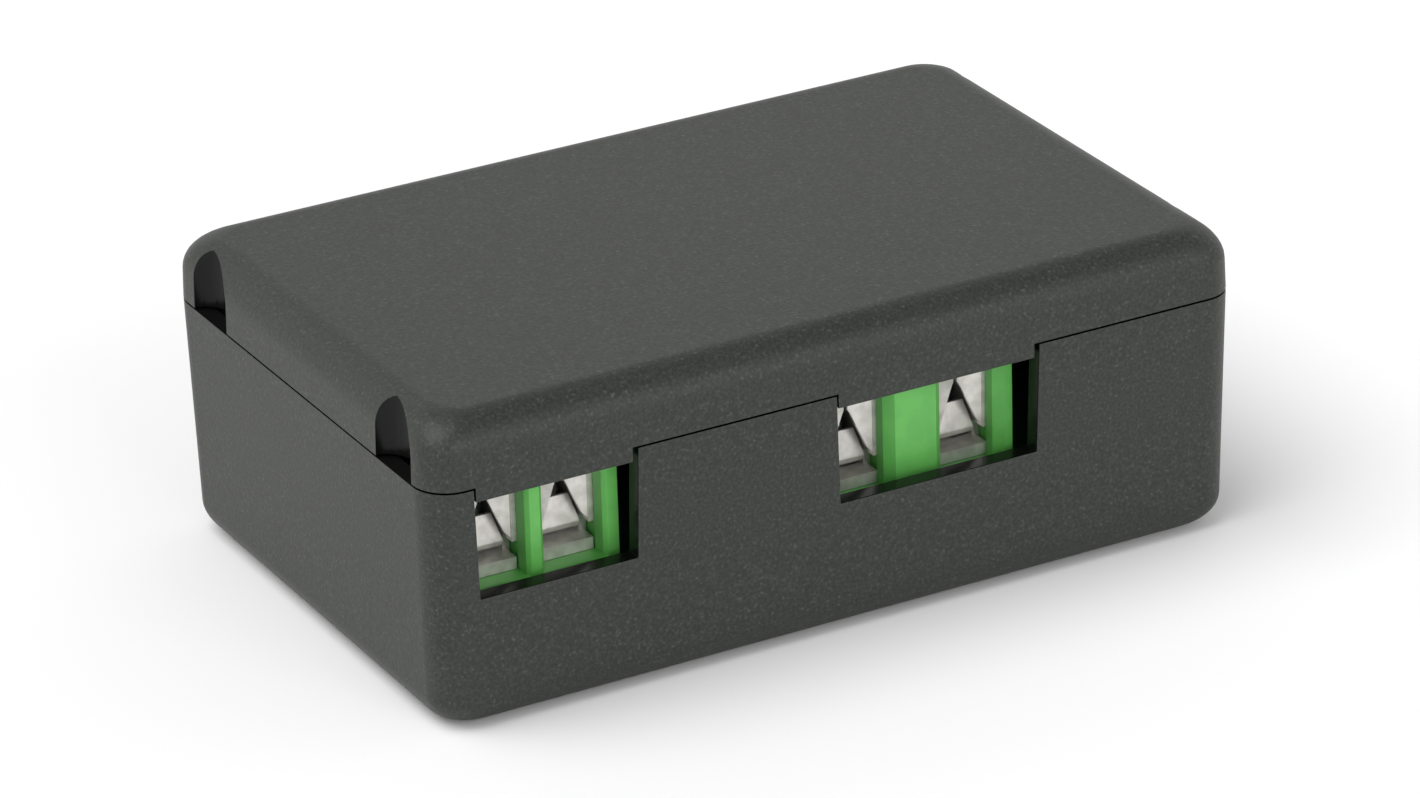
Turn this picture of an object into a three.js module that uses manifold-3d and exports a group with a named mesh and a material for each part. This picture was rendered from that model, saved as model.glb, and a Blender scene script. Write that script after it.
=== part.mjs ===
// Surge protection module for one pair of wires: a black case in two halves,
// with a circuit board inside that carries two screw terminals and the
// protective components. The wires go in through two windows in its front.
//
// Millimetres. The origin is the middle of the case's footprint, on the surface
// that it stands on. +X runs along the long front side, +Z is up, and the
// windows face -Y.

import * as THREE from 'three';
import { mergeVertices } from 'three/addons/utils/BufferGeometryUtils.js';
import Module from 'manifold-3d';

const wasm = await Module();
wasm.setup();

const radians = THREE.MathUtils.degToRad;

// ---------------------------------------------------------------- sizes: case
const CASE_LENGTH = 55.0;
const CASE_WIDTH = 35.4;
const CASE_HEIGHT = 19.9;
const PARTING_HEIGHT = 15.65;
const PARTING_GAP = 0.12;
const WALL = 1.2;
const FLOOR = 1.5;
const ROOF = 1.2;
const BASE_DRAFT = radians(1.1);
const LID_DRAFT = radians(1.5);
const CORNER_RADIUS = 2.0;
const TOP_EDGE_RADIUS = 2.2;
const BOTTOM_EDGE_RADIUS = 2.0;

// The lid's scooped slots, two in each short side, and the snap finger behind each.
// A slot's rear edge is upright, and its front edge curves over to meet it.
const SLOT_WIDTH = 4.6;
const SLOT_DEPTH = 1.6;
const SLOT_TOP_BELOW_ROOF = 0.3;
const SLOT_CURVE_HEIGHT = 2.1;
const SLOT_CORNER_RADIUS = 0.4;
const SLOT_FROM_FRONT = 4.75;
const SLOT_FROM_REAR = 5.7;
const FINGER_WIDTH = 4.8;
const FINGER_THICKNESS = 0.8;
const FINGER_BEHIND_SLOT = 0.1;
const FINGER_ABOVE_BOARD = 0.5;
const FINGER_REACH = 6.5;
const FINGER_CHAMFER = 0.4;

// The lid's locating lip, which slips inside the base along the sides and rear.
const LIP_DEPTH = 0.9;
const LIP_THICKNESS = 0.7;
const LIP_CLEARANCE = 0.25;
const LIP_FROM_FRONT = 8.5;

// --------------------------------------------------------------- sizes: board
const BOSS_HEIGHT = 3.7;
const BOSS_RADIUS = 2.1;
const BOARD_THICKNESS = 1.6;
const BOARD_CLEARANCE = 0.4;
const SEAT_GAP = 0.05;
const LEAD_RADIUS = 0.35;
const LEAD_HOLE_CLEARANCE = 0.15;
const LEAD_STANDOUT = 1.3;

const BOARD_SCREW_RADIUS = 1.0;
const BOARD_SCREW_HOLE_CLEARANCE = 0.2;
const BOARD_SCREW_PILOT_CLEARANCE = 0.1;
const BOARD_SCREW_LENGTH = 4.4;
const BOARD_SCREW_HEAD_RADIUS = 2.0;
const BOARD_SCREW_HEAD_HEIGHT = 1.3;
const BOARD_SCREW_RECESS = 0.7;
const BOARD_SCREW_RECESS_REACH = 1.2;

// ----------------------------------------------------------- sizes: terminals
const BLOCK_DEPTH = 8.3;
const BLOCK_HEIGHT = 10.0;
const BLOCK_SETBACK = 2.3;
const BLOCK_LEFT_END = 2.54;
const BLOCK_RIGHT_END = 2.93;
const BLOCK_CHAMFER = 1.0;
const ENTRY_DEPTH = 1.3;
const ENTRY_SILL = 0.05;
const ENTRY_TOP = 7.3;
const POCKET_WIDTH = 4.4;
const POCKET_BACK_WALL = 1.2;
const CLAMP_FIT = 0.06;

const CLAMP_WIDTH = 4.24;
const CLAMP_SIDE = 0.48;
const CLAMP_HEIGHT = 6.7;
const CLAMP_YOKE = 1.4;
const CLAMP_YOKE_SETBACK = 1.85;
const CLAMP_STRIP_THICKNESS = 0.77;
const CLAMP_STRIP_WIDTH = 3.8;
const CLAMP_THROAT_DEPTH = 1.3;
const CLAMP_THROAT_HEIGHT = 1.8;

// Each clamp has two wings in front, with an opening between them that is wide
// over the wire and closes upwards: [half width, height above the strip].
const WING_THICKNESS = 0.3;
const WING_SLOPE = 0.2;
const WING_OPENING = [[1.75, 1.15], [1.3, 1.62], [0.3, 4.0], [0.13, 4.3]];

const PIN_WIDTH = 1.0;
const PIN_THICKNESS = 0.7;
const PIN_HOLE_CLEARANCE = 0.15;

const LEAF_THICKNESS = 0.4;
const LEAF_SIDE_CLEARANCE = 0.14;
const LEAF_SETBACK = 0.85;
const LEAF_BEND_RADIUS = 0.55;
const LEAF_HEIGHT = 2.25;
const LEAF_LEAN = 0.4;
const LEAF_TAPER = 0.5;
const LEAF_LENGTH = 4.3;
const LEAF_REST_OPENING = 0.3;

const SCREW_FROM_STRIP_FRONT = 3.64;
const SCREW_RADIUS = 1.4;
const SCREW_THREAD_CLEARANCE = 0.1;
const SCREW_TIP_CLEARANCE = 0.05;
const SCREW_HEAD_RADIUS = 1.8;
const SCREW_HEAD_HEIGHT = 1.4;
const SCREW_HEAD_CLEARANCE = 0.2;
const SCREW_HEAD_LIFT = 0.4;
const SCREW_SLOT_WIDTH = 0.6;
const SCREW_SLOT_DEPTH = 0.7;

// The windows in the base, and the tabs of the lid that close their tops.
const WINDOW_SILL = 1.7;
const WINDOW_TAPER = 0.2;
const TAB_HEIGHT = 0.8;
const TAB_ROOT = 0.2;
const TAB_LEFT_GAP = 0.12;
const TAB_RIGHT_GAP = 0.4;

// Each terminal block stands on the board behind its own window. The window's two
// sizes are how far it reaches past the block's ends.
const INPUT_BLOCK = {
  name: 'input', pitch: 5.08, entryWidth: 3.92, entryChamfer: 0.25, pocketFloor: 1.1,
  windowLeft: -0.1, windowRight: 0.3,
};
const OUTPUT_BLOCK = {
  name: 'output', pitch: 7.62, entryWidth: 3.68, entryChamfer: 0.55, pocketFloor: 0.5,
  windowLeft: 0.3, windowRight: 0.6,
};
const INPUT_BLOCK_FROM_END = 2.68;
const BLOCK_SPACING = 13.87;

// ---------------------------------------------------------- sizes: components
const FUSE = { radius: 4.2, height: 7.6, leadPitch: 5.08 };
const VARISTOR = { radius: 4.6, thickness: 3.8, leadPitch: 5.0, lift: 1.2 };
const GAS_TUBE = { radius: 3.0, length: 6.0, capLength: 1.3, capLip: 0.25, leadPitch: 9.6 };
const CHOKE = { radius: 4.0, height: 9.0, flange: 1.2, windingRadius: 3.5, leadPitch: 5.0 };
const DIODE = { radius: 2.6, length: 9.0, chamfer: 0.5, leadPitch: 13.0 };
const COMPONENT_LIFT = 0.3;

// The components stand in two rows behind the terminals, and their places along
// the case are taken from its nearer end.
const FRONT_ROW_FROM_REAR = 13.4;
const REAR_ROW_FROM_REAR = 5.2;
const FUSES_FROM_LEFT = [9.6, 19.4];
const GAS_TUBE_FROM_LEFT = 29.6;
const CHOKES_FROM_RIGHT = [16.0, 7.0];
const VARISTORS_FROM_LEFT = [15.0, 26.0];
const DIODE_FROM_RIGHT = 16.6;

const REAR_SCREWS_FROM_END = 5.0;
const REAR_SCREWS_FROM_REAR = 4.9;
const FRONT_SCREW_FROM_RIGHT = 6.0;
const FRONT_SCREWS_FROM_FRONT = 5.1;

// -------------------------------------------------------------- worked places
const left = -CASE_LENGTH / 2;
const right = CASE_LENGTH / 2;
const front = -CASE_WIDTH / 2;
const rear = CASE_WIDTH / 2;

const boardUnderside = FLOOR + BOSS_HEIGHT + SEAT_GAP;
const boardTop = boardUnderside + BOARD_THICKNESS;
const blockFront = front + BLOCK_SETBACK;
const clampFront = blockFront + ENTRY_DEPTH + CLAMP_FIT;
const clampBack = blockFront + BLOCK_DEPTH - POCKET_BACK_WALL - CLAMP_FIT;
const screwAxisY = clampFront + SCREW_FROM_STRIP_FRONT;
const leadFoot = boardUnderside - LEAD_STANDOUT;
const windowSill = boardTop + WINDOW_SILL;

for (const block of [INPUT_BLOCK, OUTPUT_BLOCK]) {
  block.clampFloor = boardTop + block.pocketFloor + CLAMP_FIT;
  block.stripTop = block.clampFloor + CLAMP_STRIP_THICKNESS;
  block.clampTop = block.clampFloor + CLAMP_HEIGHT;
  block.leafFloor = block.stripTop + LEAF_REST_OPENING;
}
INPUT_BLOCK.firstPole = left + INPUT_BLOCK_FROM_END + BLOCK_LEFT_END;
OUTPUT_BLOCK.firstPole = INPUT_BLOCK.firstPole + INPUT_BLOCK.pitch + BLOCK_RIGHT_END
  + BLOCK_SPACING + BLOCK_LEFT_END;

// Screws that hold the board, in the places that the terminals leave free.
const betweenBlocks = OUTPUT_BLOCK.firstPole - BLOCK_LEFT_END - BLOCK_SPACING / 2;
const boardScrews = [
  [left + REAR_SCREWS_FROM_END, rear - REAR_SCREWS_FROM_REAR],
  [right - REAR_SCREWS_FROM_END, rear - REAR_SCREWS_FROM_REAR],
  [right - FRONT_SCREW_FROM_RIGHT, front + FRONT_SCREWS_FROM_FRONT],
  [betweenBlocks, front + FRONT_SCREWS_FROM_FRONT],
];

// ------------------------------------------------------------------ materials
const plain = (color, roughness, metalness) =>
  new THREE.MeshStandardMaterial({ color, roughness, metalness });
const casePlastic = plain(0x2b2d2b, 0.6, 0.0);
const boardResin = plain(0x1f6b3a, 0.5, 0.0);
const terminalPlastic = plain(0x3fa83c, 0.45, 0.0);
const tinnedBrass = plain(0xc9c6bb, 0.3, 1.0);
const screwSteel = plain(0xb9bab8, 0.35, 1.0);
const fuseResin = plain(0x1c1c1e, 0.5, 0.0);
const varistorLacquer = plain(0x1d4f9e, 0.45, 0.0);
const tubeCeramic = plain(0xd8d4c8, 0.4, 0.0);
const chokeWinding = plain(0x8a4a22, 0.4, 0.6);
const diodeResin = plain(0x202124, 0.45, 0.0);

// ------------------------------------------------------------- solid builders
const ROUND_STEPS = 24;
const LEAD_STEPS = 8;
const CORNER_STEPS = 6;
const EDGE_STEPS = 6;
const SLOT_STEPS = 8;
const SCOOP_STEPS = 40;
const LEAF_STEPS = 4;
const CUT = 1.0; // how far a cutting solid runs past the face that it cuts

// Turns a closed three.js geometry into a solid that can be joined and cut.
function solid(geometry) {
  const bare = geometry.index ? geometry.clone() : geometry;
  bare.deleteAttribute('normal');
  bare.deleteAttribute('uv');
  const merged = mergeVertices(bare, 1e-5);
  return new wasm.Manifold(new wasm.Mesh({
    numProp: 3,
    vertProperties: new Float32Array(merged.attributes.position.array),
    triVerts: new Uint32Array(merged.index.array),
  }));
}

function box([x0, x1], [y0, y1], [z0, z1]) {
  const geometry = new THREE.BoxGeometry(x1 - x0, y1 - y0, z1 - z0);
  return solid(geometry.translate((x0 + x1) / 2, (y0 + y1) / 2, (z0 + z1) / 2));
}

// Turns an outline of [radius, height] points about an upright axis at (x, y).
function turned(points, x, y, steps = ROUND_STEPS) {
  const outline = points.map(([radius, height]) => new THREE.Vector2(radius, height));
  const geometry = new THREE.LatheGeometry(outline, steps);
  return solid(geometry.rotateX(Math.PI / 2).translate(x, y, 0));
}

function post(x, y, [z0, z1], radius, steps = ROUND_STEPS) {
  return turned([[0, z0], [radius, z0], [radius, z1], [0, z1]], x, y, steps);
}

// Pushes a shape drawn in (y, z) along X.
function prism(shape, [x0, x1], curveSegments = 10) {
  const geometry = new THREE.ExtrudeGeometry(shape, { depth: x1 - x0, bevelEnabled: false, curveSegments });
  geometry.applyMatrix4(new THREE.Matrix4().makeBasis(
    new THREE.Vector3(0, 1, 0), new THREE.Vector3(0, 0, 1), new THREE.Vector3(1, 0, 0)));
  return solid(geometry.translate(x0, 0, 0));
}

function polygon(points) {
  return new THREE.Shape(points.map(([y, z]) => new THREE.Vector2(y, z)));
}

// One level of a case half: a rounded rectangle, drawn in from the case's
// largest outline by inset.
function level(z, inset, radius) {
  const points = [];
  const corners = [[1, 1], [-1, 1], [-1, -1], [1, -1]];
  corners.forEach(([sideX, sideY], quarter) => {
    const centreX = sideX * (CASE_LENGTH / 2 - inset - radius);
    const centreY = sideY * (CASE_WIDTH / 2 - inset - radius);
    for (let step = 0; step <= CORNER_STEPS; step += 1) {
      const angle = (quarter + step / CORNER_STEPS) * Math.PI / 2;
      points.push([centreX + radius * Math.cos(angle), centreY + radius * Math.sin(angle), z]);
    }
  });
  return points;
}

// Skins a stack of levels, lowest first, and closes it at both ends.
function lofted(levels) {
  const ring = levels[0].length;
  const positions = levels.flat(2);
  positions.push(0, 0, levels[0][0][2], 0, 0, levels.at(-1)[0][2]);
  const bottomCentre = levels.length * ring;
  const topCentre = bottomCentre + 1;
  const index = [];
  for (let i = 0; i < ring; i += 1) {
    const next = (i + 1) % ring;
    for (let row = 0; row + 1 < levels.length; row += 1) {
      const low = row * ring;
      const high = low + ring;
      index.push(low + i, low + next, high + next, low + i, high + next, high + i);
    }
    const top = (levels.length - 1) * ring;
    index.push(bottomCentre, next, i, topCentre, top + i, top + next);
  }
  const geometry = new THREE.BufferGeometry();
  geometry.setAttribute('position', new THREE.Float32BufferAttribute(positions, 3));
  geometry.setIndex(index);
  return solid(geometry);
}

function roundSection(inset) {
  return Math.max(CORNER_RADIUS - inset / 2, CORNER_RADIUS / 4);
}

// A straight-walled body of the case's outline between two heights.
function caseSlab([z0, z1], inset) {
  return lofted([level(z0, inset, roundSection(inset)), level(z1, inset, roundSection(inset))]);
}

function node(name, shape, material) {
  const mesh = shape.getMesh();
  const geometry = new THREE.BufferGeometry();
  geometry.setAttribute('position', new THREE.Float32BufferAttribute(mesh.vertProperties, 3));
  geometry.setIndex(Array.from(mesh.triVerts));
  const result = new THREE.Mesh(geometry, material);
  result.name = name;
  return result;
}

// ------------------------------------------------------------------ case base
const baseInset = (z) => (PARTING_HEIGHT - z) * Math.tan(BASE_DRAFT);
const lidInset = (z) => (z - PARTING_HEIGHT) * Math.tan(LID_DRAFT);

function baseBody() {
  const levels = [];
  for (let step = 0; step <= EDGE_STEPS; step += 1) {
    const angle = step / EDGE_STEPS * Math.PI / 2;
    const z = BOTTOM_EDGE_RADIUS * (1 - Math.cos(angle));
    const rounding = BOTTOM_EDGE_RADIUS * (1 - Math.sin(angle));
    levels.push(level(z, baseInset(z) + rounding, roundSection(rounding)));
  }
  levels.push(level(PARTING_HEIGHT, 0, CORNER_RADIUS));
  return lofted(levels);
}

function baseHollow() {
  const radius = roundSection(WALL);
  const above = PARTING_HEIGHT + CUT;
  return lofted([
    level(FLOOR, baseInset(FLOOR) + WALL, radius),
    level(above, baseInset(above) + WALL, radius),
  ]);
}

function blockEnds(block) {
  return [block.firstPole - BLOCK_LEFT_END, block.firstPole + block.pitch + BLOCK_RIGHT_END];
}

function windowEnds(block) {
  const [blockLeft, blockRight] = blockEnds(block);
  return [blockLeft - block.windowLeft, blockRight + block.windowRight];
}

// A window is a notch in the front wall, a little narrower at its sill.
function windowCut(block) {
  const [x0, x1] = windowEnds(block);
  const outline = new THREE.Shape([
    new THREE.Vector2(x0 + WINDOW_TAPER, windowSill),
    new THREE.Vector2(x1 - WINDOW_TAPER, windowSill),
    new THREE.Vector2(x1, PARTING_HEIGHT + CUT),
    new THREE.Vector2(x0, PARTING_HEIGHT + CUT),
  ]);
  const depth = WALL + 2 * CUT;
  const geometry = new THREE.ExtrudeGeometry(outline, { depth, bevelEnabled: false });
  return solid(geometry.rotateX(Math.PI / 2).translate(0, front - CUT + depth, 0));
}

function baseShell() {
  let shell = baseBody().subtract(baseHollow());
  for (const block of [INPUT_BLOCK, OUTPUT_BLOCK]) shell = shell.subtract(windowCut(block));
  for (const [x, y] of boardScrews) {
    shell = shell.add(post(x, y, [FLOOR / 2, FLOOR + BOSS_HEIGHT], BOSS_RADIUS));
    const pilotBottom = boardTop - BOARD_SCREW_LENGTH - 2 * BOARD_SCREW_PILOT_CLEARANCE;
    const pilotRadius = BOARD_SCREW_RADIUS + BOARD_SCREW_PILOT_CLEARANCE;
    shell = shell.subtract(post(x, y, [pilotBottom, boardUnderside + CUT], pilotRadius));
  }
  return node('base_shell', shell, casePlastic);
}

// ------------------------------------------------------------------- case lid
const lidBottom = PARTING_HEIGHT + PARTING_GAP;
const slotCentres = [front + SLOT_FROM_FRONT, rear - SLOT_FROM_REAR];
const slotBack = right - SLOT_DEPTH;

function lidBody() {
  const levels = [level(lidBottom, 0, CORNER_RADIUS)];
  for (let step = 0; step <= EDGE_STEPS; step += 1) {
    const angle = step / EDGE_STEPS * Math.PI / 2;
    const z = CASE_HEIGHT - TOP_EDGE_RADIUS * (1 - Math.sin(angle));
    const rounding = TOP_EDGE_RADIUS * (1 - Math.cos(angle));
    levels.push(level(z, lidInset(z) + rounding, roundSection(rounding)));
  }
  return lofted(levels);
}

function lidHollow() {
  const radius = roundSection(WALL);
  const below = lidBottom - CUT;
  const ceiling = CASE_HEIGHT - ROOF;
  return lofted([level(below, WALL, radius), level(ceiling, lidInset(ceiling) + WALL, radius)]);
}

// The lip is a ring, thick where it joins the lid and thinner below the parting
// plane, and it stops short of the front, where the windows are.
function lidLip() {
  const outer = WALL + LIP_CLEARANCE;
  const inner = outer + LIP_THICKNESS;
  const root = caseSlab([lidBottom, lidBottom + LIP_DEPTH], WALL / 2);
  const skirt = caseSlab([PARTING_HEIGHT - LIP_DEPTH, lidBottom + LIP_DEPTH / 2], outer);
  const middle = caseSlab([PARTING_HEIGHT - CUT - LIP_DEPTH, lidBottom + LIP_DEPTH + CUT], inner);
  const keep = box([left, right], [front + LIP_FROM_FRONT, rear], [0, CASE_HEIGHT]);
  return root.add(skirt).subtract(middle).intersect(keep);
}

// A snap finger hangs from the roof behind each slot. Above the parting plane it
// is thick enough to reach the wall, so the slot never opens into the case.
function snapFinger(side, y) {
  const outer = slotBack - FINGER_BEHIND_SLOT;
  const inner = outer - FINGER_THICKNESS;
  const foot = Math.max(PARTING_HEIGHT - FINGER_REACH, boardTop + FINGER_ABOVE_BOARD);
  const root = CASE_HEIGHT - ROOF / 2;
  const wallMiddle = right - WALL / 2 - lidInset(CASE_HEIGHT);
  const outline = [
    [inner, foot], [outer - FINGER_CHAMFER, foot], [outer, foot + FINGER_CHAMFER],
    [outer, lidBottom], [wallMiddle, lidBottom], [outer, root], [inner, root],
  ];
  const shape = new THREE.Shape(outline.map(([x, z]) => new THREE.Vector2(x, z)));
  const geometry = new THREE.ExtrudeGeometry(shape, { depth: FINGER_WIDTH, bevelEnabled: false });
  geometry.rotateX(Math.PI / 2).translate(0, FINGER_WIDTH / 2, 0);
  const finger = solid(geometry);
  return (side > 0 ? finger : finger.mirror([1, 0, 0])).translate([0, y, 0]);
}

// The outline of a slot as it is seen from the side, pushed through the wall,
// where it overlaps an upright elliptical cylinder that makes the scoop.
function slotCut(side, y) {
  const half = SLOT_WIDTH / 2;
  const top = CASE_HEIGHT - SLOT_TOP_BELOW_ROOF;
  const corner = SLOT_CORNER_RADIUS;
  const curveWidth = SLOT_WIDTH - corner;
  const below = PARTING_HEIGHT - CUT;
  const shape = new THREE.Shape();
  shape.moveTo(y - half, below);
  shape.lineTo(y + half, below);
  shape.absarc(y + half - corner, top - corner, corner, 0, Math.PI / 2, false);
  shape.absellipse(y - half + curveWidth, top - SLOT_CURVE_HEIGHT, curveWidth, SLOT_CURVE_HEIGHT,
    Math.PI / 2, Math.PI, false);
  const outline = prism(shape, [slotBack - CUT, right + CUT], SLOT_STEPS);
  const scoop = post(0, 0, [below - CUT, CASE_HEIGHT + CUT], 1, SCOOP_STEPS)
    .scale([SLOT_DEPTH, half, 1]).translate([right, y, 0]);
  const cut = outline.intersect(scoop);
  return side > 0 ? cut : cut.mirror([1, 0, 0]);
}

function windowTab(block) {
  const [x0, x1] = windowEnds(block);
  return box([x0 + TAB_LEFT_GAP, x1 - TAB_RIGHT_GAP], [front, front + WALL],
    [PARTING_HEIGHT - TAB_HEIGHT, lidBottom + TAB_ROOT]);
}

function lidShell() {
  let shell = lidBody().subtract(lidHollow()).add(lidLip());
  for (const block of [INPUT_BLOCK, OUTPUT_BLOCK]) shell = shell.add(windowTab(block));
  for (const side of [-1, 1]) {
    for (const y of slotCentres) {
      shell = shell.add(snapFinger(side, y)).subtract(slotCut(side, y));
    }
  }
  return node('lid_shell', shell, casePlastic);
}

// ------------------------------------------------------------ terminal blocks
function poles(block) {
  return [block.firstPole, block.firstPole + block.pitch];
}

// The opening in front of one pole, its upright edges chamfered.
function wireEntry(block, x) {
  const half = block.entryWidth / 2;
  const mouth = half + block.entryChamfer;
  const outline = [
    [-mouth, -CUT], [mouth, -CUT], [mouth, 0], [half, block.entryChamfer],
    [half, ENTRY_DEPTH + CUT], [-half, ENTRY_DEPTH + CUT], [-half, block.entryChamfer], [-mouth, 0],
  ];
  const shape = new THREE.Shape(outline.map(([across, depth]) =>
    new THREE.Vector2(x + across, blockFront + depth)));
  const bottom = boardTop + block.pocketFloor + ENTRY_SILL;
  const top = boardTop + ENTRY_TOP;
  const geometry = new THREE.ExtrudeGeometry(shape, { depth: top - bottom, bevelEnabled: false });
  return solid(geometry.translate(0, 0, bottom));
}

function pinHole(x) {
  const halfX = PIN_WIDTH / 2 + PIN_HOLE_CLEARANCE;
  const halfY = PIN_THICKNESS / 2 + PIN_HOLE_CLEARANCE;
  const depth = [screwAxisY - halfY, screwAxisY + halfY];
  return box([x - halfX, x + halfX], depth, [0, boardTop + 2 * ENTRY_DEPTH]);
}

function terminalHousing(block) {
  const [x0, x1] = blockEnds(block);
  const top = boardTop + BLOCK_HEIGHT;
  const bottom = boardTop + SEAT_GAP;
  const back = blockFront + BLOCK_DEPTH;
  let housing = prism(polygon([
    [blockFront, bottom], [back, bottom], [back, top],
    [blockFront + BLOCK_CHAMFER, top], [blockFront, top - BLOCK_CHAMFER],
  ]), [x0, x1]);
  for (const x of poles(block)) {
    const pocketHalf = POCKET_WIDTH / 2;
    const pocket = box([x - pocketHalf, x + pocketHalf], [blockFront + ENTRY_DEPTH, back - POCKET_BACK_WALL],
      [boardTop + block.pocketFloor, block.clampTop + CLAMP_FIT]);
    const shaftRadius = SCREW_HEAD_RADIUS + SCREW_HEAD_CLEARANCE;
    const shaft = post(x, screwAxisY, [block.clampTop - CUT, top + CUT], shaftRadius);
    housing = housing.subtract(wireEntry(block, x)).subtract(pocket).subtract(shaft).subtract(pinHole(x));
  }
  return node(`${block.name}_terminal_housing`, housing, terminalPlastic);
}

// One front wing of a clamp: a thin plate that slopes back towards the middle.
function clampWing(block, x, side) {
  const half = CLAMP_WIDTH / 2;
  const opening = WING_OPENING.map(([across, height]) => [across, block.stripTop + height]);
  const slit = opening.at(-1)[0];
  const outline = [[half, opening[0][1]], ...opening, [slit, block.clampTop], [half, block.clampTop]];
  const shape = new THREE.Shape(outline.map(([across, z]) => new THREE.Vector2(across, z)));
  const geometry = new THREE.ExtrudeGeometry(shape, { depth: WING_THICKNESS, bevelEnabled: false });
  geometry.rotateX(Math.PI / 2).translate(0, WING_THICKNESS, 0);
  const slope = new THREE.Matrix4().makeShear(-WING_SLOPE, 0, 0, 0, 0, 0).setPosition(0, WING_SLOPE * half, 0);
  const wing = solid(geometry.applyMatrix4(slope));
  return (side > 0 ? wing : wing.mirror([1, 0, 0])).translate([x, clampFront, 0]);
}

// The fixed metal of one pole: a strip under the wire, two sides with a wing in
// front of each, a threaded yoke over the wire and a pin down through the board.
function clampContact(name, block, x) {
  const { clampFloor, stripTop, clampTop } = block;
  const half = CLAMP_WIDTH / 2;
  const innerHalf = half - CLAMP_SIDE;
  const depth = [clampFront, clampBack];
  const strip = box([x - CLAMP_STRIP_WIDTH / 2, x + CLAMP_STRIP_WIDTH / 2], depth, [clampFloor, stripTop]);
  const frame = box([x - half, x + half], depth, [clampFloor, clampTop]);
  const inside = box([x - innerHalf, x + innerHalf], [clampFront - CUT, clampBack + CUT],
    [stripTop, clampTop - CLAMP_YOKE]);
  const openFront = box([x - innerHalf, x + innerHalf], [clampFront - CUT, clampFront + CLAMP_YOKE_SETBACK],
    [stripTop, clampTop + CUT]);
  const throat = box([x - half - CUT, x + half + CUT], [clampFront - CUT, clampFront + CLAMP_THROAT_DEPTH],
    [clampFloor - CUT, clampFloor + CLAMP_THROAT_HEIGHT]);
  const thread = post(x, screwAxisY, [stripTop + CUT, clampTop + CUT], SCREW_RADIUS + SCREW_THREAD_CLEARANCE);
  const pin = box([x - PIN_WIDTH / 2, x + PIN_WIDTH / 2],
    [screwAxisY - PIN_THICKNESS / 2, screwAxisY + PIN_THICKNESS / 2],
    [leadFoot, clampFloor + CLAMP_STRIP_THICKNESS / 2]);
  const contact = frame.subtract(inside).subtract(openFront).subtract(throat).subtract(thread)
    .add(strip).add(pin).add(clampWing(block, x, -1)).add(clampWing(block, x, 1));
  return node(name, contact, tinnedBrass);
}

// The side view of a leaf: a flat tongue under the screw, a round bend at the
// wire's entry, and a guard that leans back above it.
function leafOutline(leafFloor) {
  const bendY = clampFront + LEAF_SETBACK + LEAF_BEND_RADIUS;
  const bendZ = leafFloor + LEAF_BEND_RADIUS;
  const inner = LEAF_BEND_RADIUS - LEAF_THICKNESS;
  const guardTop = leafFloor + LEAF_HEIGHT;
  const shape = new THREE.Shape();
  shape.moveTo(clampFront + LEAF_SETBACK + LEAF_LENGTH, leafFloor);
  shape.lineTo(clampFront + LEAF_SETBACK + LEAF_LENGTH, leafFloor + LEAF_THICKNESS);
  shape.lineTo(bendY, leafFloor + LEAF_THICKNESS);
  shape.absarc(bendY, bendZ, inner, -Math.PI / 2, -Math.PI, true);
  shape.lineTo(bendY - inner + LEAF_LEAN, guardTop);
  shape.lineTo(bendY - LEAF_BEND_RADIUS + LEAF_LEAN, guardTop);
  shape.lineTo(bendY - LEAF_BEND_RADIUS, bendZ);
  shape.absarc(bendY, bendZ, LEAF_BEND_RADIUS, Math.PI, Math.PI * 1.5, false);
  return shape;
}

// The leaf that the screw pushes down on the wire. Its guard narrows upwards.
function clampLeaf(name, block, x) {
  const { leafFloor } = block;
  const half = CLAMP_WIDTH / 2 - CLAMP_SIDE - LEAF_SIDE_CLEARANCE;
  const strap = prism(leafOutline(leafFloor), [x - half, x + half], LEAF_STEPS);
  const bendZ = leafFloor + LEAF_BEND_RADIUS;
  const above = leafFloor + LEAF_HEIGHT + CUT / 2;
  const taper = new THREE.Shape([
    new THREE.Vector2(x - half, leafFloor - CUT), new THREE.Vector2(x + half, leafFloor - CUT),
    new THREE.Vector2(x + half, bendZ), new THREE.Vector2(x + half - LEAF_TAPER, above),
    new THREE.Vector2(x - half + LEAF_TAPER, above), new THREE.Vector2(x - half, bendZ),
  ]);
  const reach = 2 * BLOCK_DEPTH;
  const keep = new THREE.ExtrudeGeometry(taper, { depth: reach, bevelEnabled: false });
  keep.rotateX(Math.PI / 2).translate(0, blockFront + reach, 0);
  return node(name, strap.intersect(solid(keep)), tinnedBrass);
}

function clampScrew(name, block, x) {
  const tip = block.leafFloor + LEAF_THICKNESS + SCREW_TIP_CLEARANCE;
  const headBottom = block.clampTop + SCREW_HEAD_LIFT;
  const headTop = headBottom + SCREW_HEAD_HEIGHT;
  const chamfer = SCREW_RADIUS / 4;
  const screw = turned([
    [0, tip], [SCREW_RADIUS - chamfer, tip], [SCREW_RADIUS, tip + chamfer],
    [SCREW_RADIUS, headBottom], [SCREW_HEAD_RADIUS, headBottom],
    [SCREW_HEAD_RADIUS, headTop - chamfer], [SCREW_HEAD_RADIUS - chamfer, headTop], [0, headTop],
  ], x, screwAxisY);
  const slot = box([x - SCREW_HEAD_RADIUS - CUT, x + SCREW_HEAD_RADIUS + CUT],
    [screwAxisY - SCREW_SLOT_WIDTH / 2, screwAxisY + SCREW_SLOT_WIDTH / 2],
    [headTop - SCREW_SLOT_DEPTH, headTop + CUT]);
  return node(name, screw.subtract(slot), screwSteel);
}

// ----------------------------------------------------- protective components
const leadHoles = [];

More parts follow.
